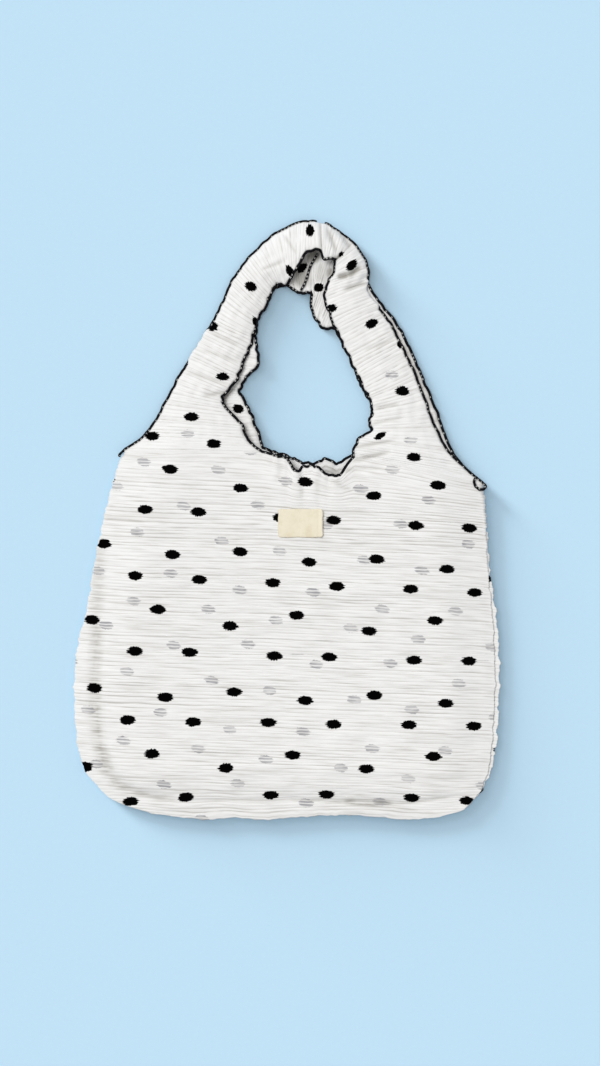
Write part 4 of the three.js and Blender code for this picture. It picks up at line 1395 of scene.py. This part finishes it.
def single_spots(n, ragged, place, chart, total):
    """Spots placed one by one, added to a mask."""
    for px, py, angle, wide, tall in zip(*chart.values()):
        centre = (np.array(at_pixel(px, py)) + SHIFT[:2]) * MM
        half = (wide * MM, tall * MM)
        mask = lay_spot(n, ragged, place, centre, ALONE, 0.0, half, -math.radians(angle))
        total = n.math("MAXIMUM", total, mask)
    return total


print("a repeat of the print, mm", [round(side / MM, 1) for side in REPEAT_CELL[:2]])

# %% Spots behind the cloth
BACK_FIRST_SPOT = (174.0, 645.0)
BACK_STEP_ACROSS = (142.0, -19.0)
BACK_STEP_DOWN = (-10.0, -139.0)
STREAK = 0.0029


def place_behind(n, place):
    """The place in the back panel's repeat, whose steps are given in pixels right and up."""
    origin = (np.array(at_pixel(*BACK_FIRST_SPOT)) + SHIFT[:2]) * MM
    shifted = n.vector("SUBTRACT", place, (*origin, 0.0))
    into_steps = np.linalg.inv(np.column_stack([BACK_STEP_ACROSS, BACK_STEP_DOWN])) / (PIXEL * MM)
    behind = n.add("ShaderNodeCombineXYZ")
    for socket, row in zip(("X", "Y"), into_steps):
        n.link(n.vector("DOT_PRODUCT", shifted, (*row, 0.0)), behind.inputs[socket])
    return behind.outputs[0]


def in_streaks(n, place, streak, spots):
    """Breaks the spots behind the cloth into streaks that run along the pleats."""
    down = n.vector("DOT_PRODUCT", place, (BODY_TILT, 1.0, 0.0))
    bend = n.noise(n.vector("MULTIPLY", place, (70.0, 160.0, 1.0)), 1.0)
    phase = n.math("MULTIPLY", down, 2 * math.pi / STREAK)
    phase = n.math("ADD", phase, n.math("MULTIPLY", bend, 7.0))
    streaks = n.ramp(n.math("SINE", phase), -0.85, 0.15, 0.16, 1.0)
    streaks = n.math("MULTIPLY", streaks, n.ramp(streak, 0.0, 1.0, 0.7, 1.0))
    grey = n.math("MULTIPLY", spots, streaks)
    return n.math("MULTIPLY", grey, n.ramp(n.noise(place, 60.0), 0.35, 0.65, 0.6, 1.0))


print("streaks", round(STREAK / MM, 1), "mm apart")

# %% Cloth material
# the ridge colour is the cloth's own white; the valley and crease colours are painted shade
RIDGE = (0.843, 0.845, 0.844, 1.0)
VALLEY_SHADE = (0.53, 0.515, 0.49, 1.0)
CREASE_SHADE = (0.36, 0.345, 0.31, 1.0)
SHOWN_THROUGH = (0.34, 0.335, 0.355, 1.0)
SPOT_BLACK = (0.001, 0.001, 0.001, 1.0)


def cloth_material(name, chart, placed, through):
    """Pleated white cloth with painted valley and crease shade, black spots, and grey ones where the other
    panel shows through.
    """
    material, n, shader = new_material(name, (0.84, 0.84, 0.83), 0.88)
    pleats = n.add("ShaderNodeGroup", node_tree=pleat_group)
    n.link(n.uv("cloth"), pleats.inputs["Cloth"])
    n.link(n.attribute("fold"), pleats.inputs["Fold"])
    ragged = pleats.outputs["Ragged"]
    streak = pleats.outputs["Streak"]
    strap = n.attribute("strap")
    place = n.place()

    behind = repeated_spots(n, ragged, place_behind(n, place), THROUGH, THROUGH_CELL, THROUGH_HALF)
    if chart == "front":
        black = repeated_spots(n, ragged, n.uv("print"), REPEAT, REPEAT_CELL, SPOT_HALF)
    else:
        inside_rim = n.ramp(n.attribute("edge"), 0.005, 0.007, kind="LINEAR")
        black = n.math("MULTIPLY", behind, inside_rim)
    black = single_spots(n, ragged, place, placed, black)

    # the painted shade of the pleats is kept weaker on the straps
    calmer = n.ramp(strap, 0.0, 1.0, 1.0, 0.7, kind="LINEAR")
    base = n.mix(n.math("MULTIPLY", pleats.outputs["Shade"], calmer), RIDGE, VALLEY_SHADE)
    # painted shade in the creases, broken up along the pleats and less so on the straps
    crease_shade_mask = n.ramp(n.attribute("crease"), 0.1, 1.8, 0.0, 0.9, kind="LINEAR")
    broken = n.noise(n.vector("MULTIPLY", place, (50.0, 330.0, 1.0)), 1.0, 3.0, 0.6)
    broken = n.ramp(broken, 0.38, 0.62, 0.35, 1.0)
    broken = n.math("MULTIPLY", broken, n.ramp(streak, 0.0, 1.0, 0.35, 1.0))
    broken = n.math("MAXIMUM", broken, n.ramp(strap, 0.0, 1.0, 0.0, 0.9))
    base = n.mix(n.math("MULTIPLY", crease_shade_mask, broken), base, CREASE_SHADE)
    if through:
        grey = in_streaks(n, place, streak, single_spots(n, ragged, place, through, behind))
        base = n.mix(grey, base, SHOWN_THROUGH)
    n.link(n.mix(black, base, SPOT_BLACK), shader.inputs["Base Color"])
    n.link(n.ramp(black, 0.0, 1.0, 0.86, 0.97, kind="LINEAR"), shader.inputs["Roughness"])
    n.relief(pleats.outputs["Height"], 0.4, 0.0005, shader)
    return material


front_finish = cloth_material("front_pleated_cloth", "front", FRONT_SPOTS, STRAP_THROUGH)
back_finish = cloth_material("back_pleated_cloth", "back", BACK_SPOTS, None)
front.data.materials.append(front_finish)
back.data.materials.append(back_finish)
print("nodes of the front cloth", len(front_finish.node_tree.nodes))

# %% [markdown]
# The overlock thread is black and matt. White specks of cloth peep out between some of its stitches. Tiny
# white meshes could be set along it, but the specks are under a millimetre, so they are painted: one
# window for every few stitches, chosen by seeded noise, on one side of the tube only.

# %% Thread material
BLACK_DEEP = (0.002, 0.002, 0.003, 1.0)
BLACK_LIT = (0.018, 0.018, 0.022, 1.0)
SPECK = (0.5, 0.5, 0.49, 1.0)
SPECK_EVERY = 2.4


def thread_material(name, speck_share, speck_turn):
    """Black overlock thread with specks of white cloth between its stitches."""
    material, n, shader = new_material(name, (0.01, 0.01, 0.012), 0.85)
    place = n.add("ShaderNodeSeparateXYZ")
    n.link(n.uv("thread"), place.inputs[0])
    stitches = n.math("DIVIDE", place.outputs["X"], SPECK_EVERY * STITCH * MM)
    phase = n.math("FRACT", n.math("ADD", stitches, 1000.0))
    white = n.add("ShaderNodeTexWhiteNoise", noise_dimensions="1D")
    n.link(n.math("FLOOR", stitches), white.inputs["W"])
    chosen = n.ramp(white.outputs["Value"], 1.0 - speck_share, 1.02 - speck_share, kind="LINEAR")
    window = n.math("MULTIPLY", n.ramp(phase, 0.2, 0.35), n.ramp(phase, 0.72, 0.57))
    angle = n.math("MULTIPLY", place.outputs["Y"], 2 * math.pi)
    angle = n.math("SUBTRACT", angle, math.radians(speck_turn))
    one_side = n.ramp(n.math("COSINE", angle), 0.7, 0.92)
    speck = n.math("MULTIPLY", n.math("MULTIPLY", chosen, window), one_side)
    fuzz = n.noise(n.place(), 900.0, 2.0, 0.6)
    black = n.mix(fuzz, BLACK_DEEP, BLACK_LIT)
    n.link(n.mix(speck, black, SPECK), shader.inputs["Base Color"])
    twist = n.math("DIVIDE", place.outputs["X"], STITCH * MM / (6 * math.pi))
    n.relief(n.math("SINE", twist), 0.6, 0.0003, shader)
    return material


edge_thread = thread_material("black_overlock_thread", 0.5, 125.0)
seam_thread = thread_material("seam_overlock_thread", 1.0, 90.0)
for piece in (front_neck, back_neck, left_armhole, right_armhole):
    piece.data.materials.append(edge_thread)
for piece in (front_seam, back_seam):
    piece.data.materials.append(seam_thread)
print("thread materials", edge_thread.name, seam_thread.name)

# %% [markdown]
# The label is cream tape in plain weave, a little blotched by wear. Its threads could be modelled, but
# they are far thinner than a pixel. Two crossed bands of waves make the weave for colour and bump alike,
# so the light and the colour agree.

# %% Label material
TAPE_LIGHT = (0.87, 0.81, 0.65, 1.0)
TAPE_DARK = (0.79, 0.715, 0.55, 1.0)
TAPE_GAP = (0.64, 0.57, 0.42, 1.0)
tape, n, shader = new_material("cream_woven_tape", (0.77, 0.67, 0.53), 0.85)
place = n.place()
waves = []
for direction, threads in (("X", 520.0), ("Y", 620.0)):
    band = n.add("ShaderNodeTexWave", wave_type="BANDS", bands_direction=direction)
    band.inputs["Scale"].default_value = threads
    n.link(place, band.inputs["Vector"])
    waves.append(band.outputs["Fac"])
weave = n.math("MULTIPLY", *waves)
mixed = n.mix(n.ramp(n.noise(place, 90.0, 3.0, 0.6), 0.35, 0.7), TAPE_LIGHT, TAPE_DARK)
n.link(n.mix(n.math("MULTIPLY", weave, 0.25), mixed, TAPE_GAP), shader.inputs["Base Color"])
n.relief(weave, 0.5, 0.0003, shader)
label.data.materials.append(tape)
print("label material", tape.name)

# %% [markdown]
# A part of the library has bodies that may move and CAD nodes that the scene's pieces stand for. This bag
# has one body, because cloth has no hinge. Each piece rides on that body and replaces its own CAD node.

# %% Tie the pieces to the frame
PIECES = [
    (front, "front_panel", "pleated_cloth"),
    (back, "back_panel", "pleated_cloth"),
    (front_neck, "front_neck_overlock", "black_thread"),
    (back_neck, "back_neck_overlock", "black_thread"),
    (left_armhole, "left_armhole_overlock", "black_thread"),
    (right_armhole, "right_armhole_overlock", "black_thread"),
    (front_seam, "front_strap_seam", "black_thread"),
    (back_seam, "back_strap_seam", "black_thread"),
    (label, "label", "label_tape"),
]
for piece, node, slot_name in PIECES:
    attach(piece, "root")
    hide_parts(node)
print("pieces", len(PIECES))

# %% [markdown] The bag lies on pale blue paper. The paper could be a flat colour, but a faint grain
# keeps it from looking empty.

# %% Paper
PAPER_DEEP = (0.495, 0.702, 0.866, 1.0)
PAPER_LIGHT = (0.516, 0.728, 0.894, 1.0)
corners = [(-3, -3, 0), (3, -3, 0), (3, 3, 0), (-3, 3, 0)]
floor = mesh_object("paper_floor", corners, [(0, 1, 2, 3)], flat=True)
paper, n, shader = new_material("pale_blue_paper", (0.56, 0.78, 0.95), 0.95)
grain = n.noise(n.place(), 260.0, 4.0, 0.6)
n.link(n.mix(grain, PAPER_DEEP, PAPER_LIGHT), shader.inputs["Base Color"])
floor.data.materials.append(paper)
print("stage", floor.name)

# %% [markdown]
# The photo has one big soft light from the upper left and a bright room all round. A single area light
# close by would fall off across the paper, so suns are used, whose light is even. One sun shades the
# cloth. The paper's shadow is both dark near the bag and very wide, which no single sun gives, so three
# suns of different heights share the paper by light linking.

# %% Sky
SKY = (1.0, 0.995, 0.985, 1.0)
SKY_STRENGTH = 0.50
world = bpy.data.worlds.new("soft_sky")
world.use_nodes = True
world.node_tree.nodes["Background"].inputs["Color"].default_value = SKY
world.node_tree.nodes["Background"].inputs["Strength"].default_value = SKY_STRENGTH
scene.world = world
print("strength of the sky", SKY_STRENGTH)

# %% Suns
WINDOW_SIDE = 139.0


def window_light(name, height, softness, share, lit):
    """A soft sun from the upper left that lights only the objects given."""
    data = bpy.data.lights.new(name, "SUN")
    data.energy = share * math.pi / math.sin(math.radians(height))
    data.angle = math.radians(softness)
    data.color = SKY[:3]
    made = bpy.data.objects.new(name, data)
    made.rotation_euler = (math.radians(90.0 - height), 0.0, math.radians(WINDOW_SIDE + 90.0))
    scene.collection.objects.link(made)
    group = bpy.data.collections.new(name + "_lit")
    for thing in lit:
        group.objects.link(thing)
    made.light_linking.receiver_collection = group
    print(name, "strength", round(data.energy, 2))


window_light("window_on_cloth", 60.0, 34.0, 0.57, [piece for piece, _, _ in PIECES])
window_light("ceiling_on_paper", 80.0, 30.0, 0.16, [floor])
window_light("high_window_on_paper", 24.0, 34.0, 0.15, [floor])
window_light("low_window_on_paper", 9.5, 17.0, 0.26, [floor])
scene.view_settings.view_transform = "Standard"
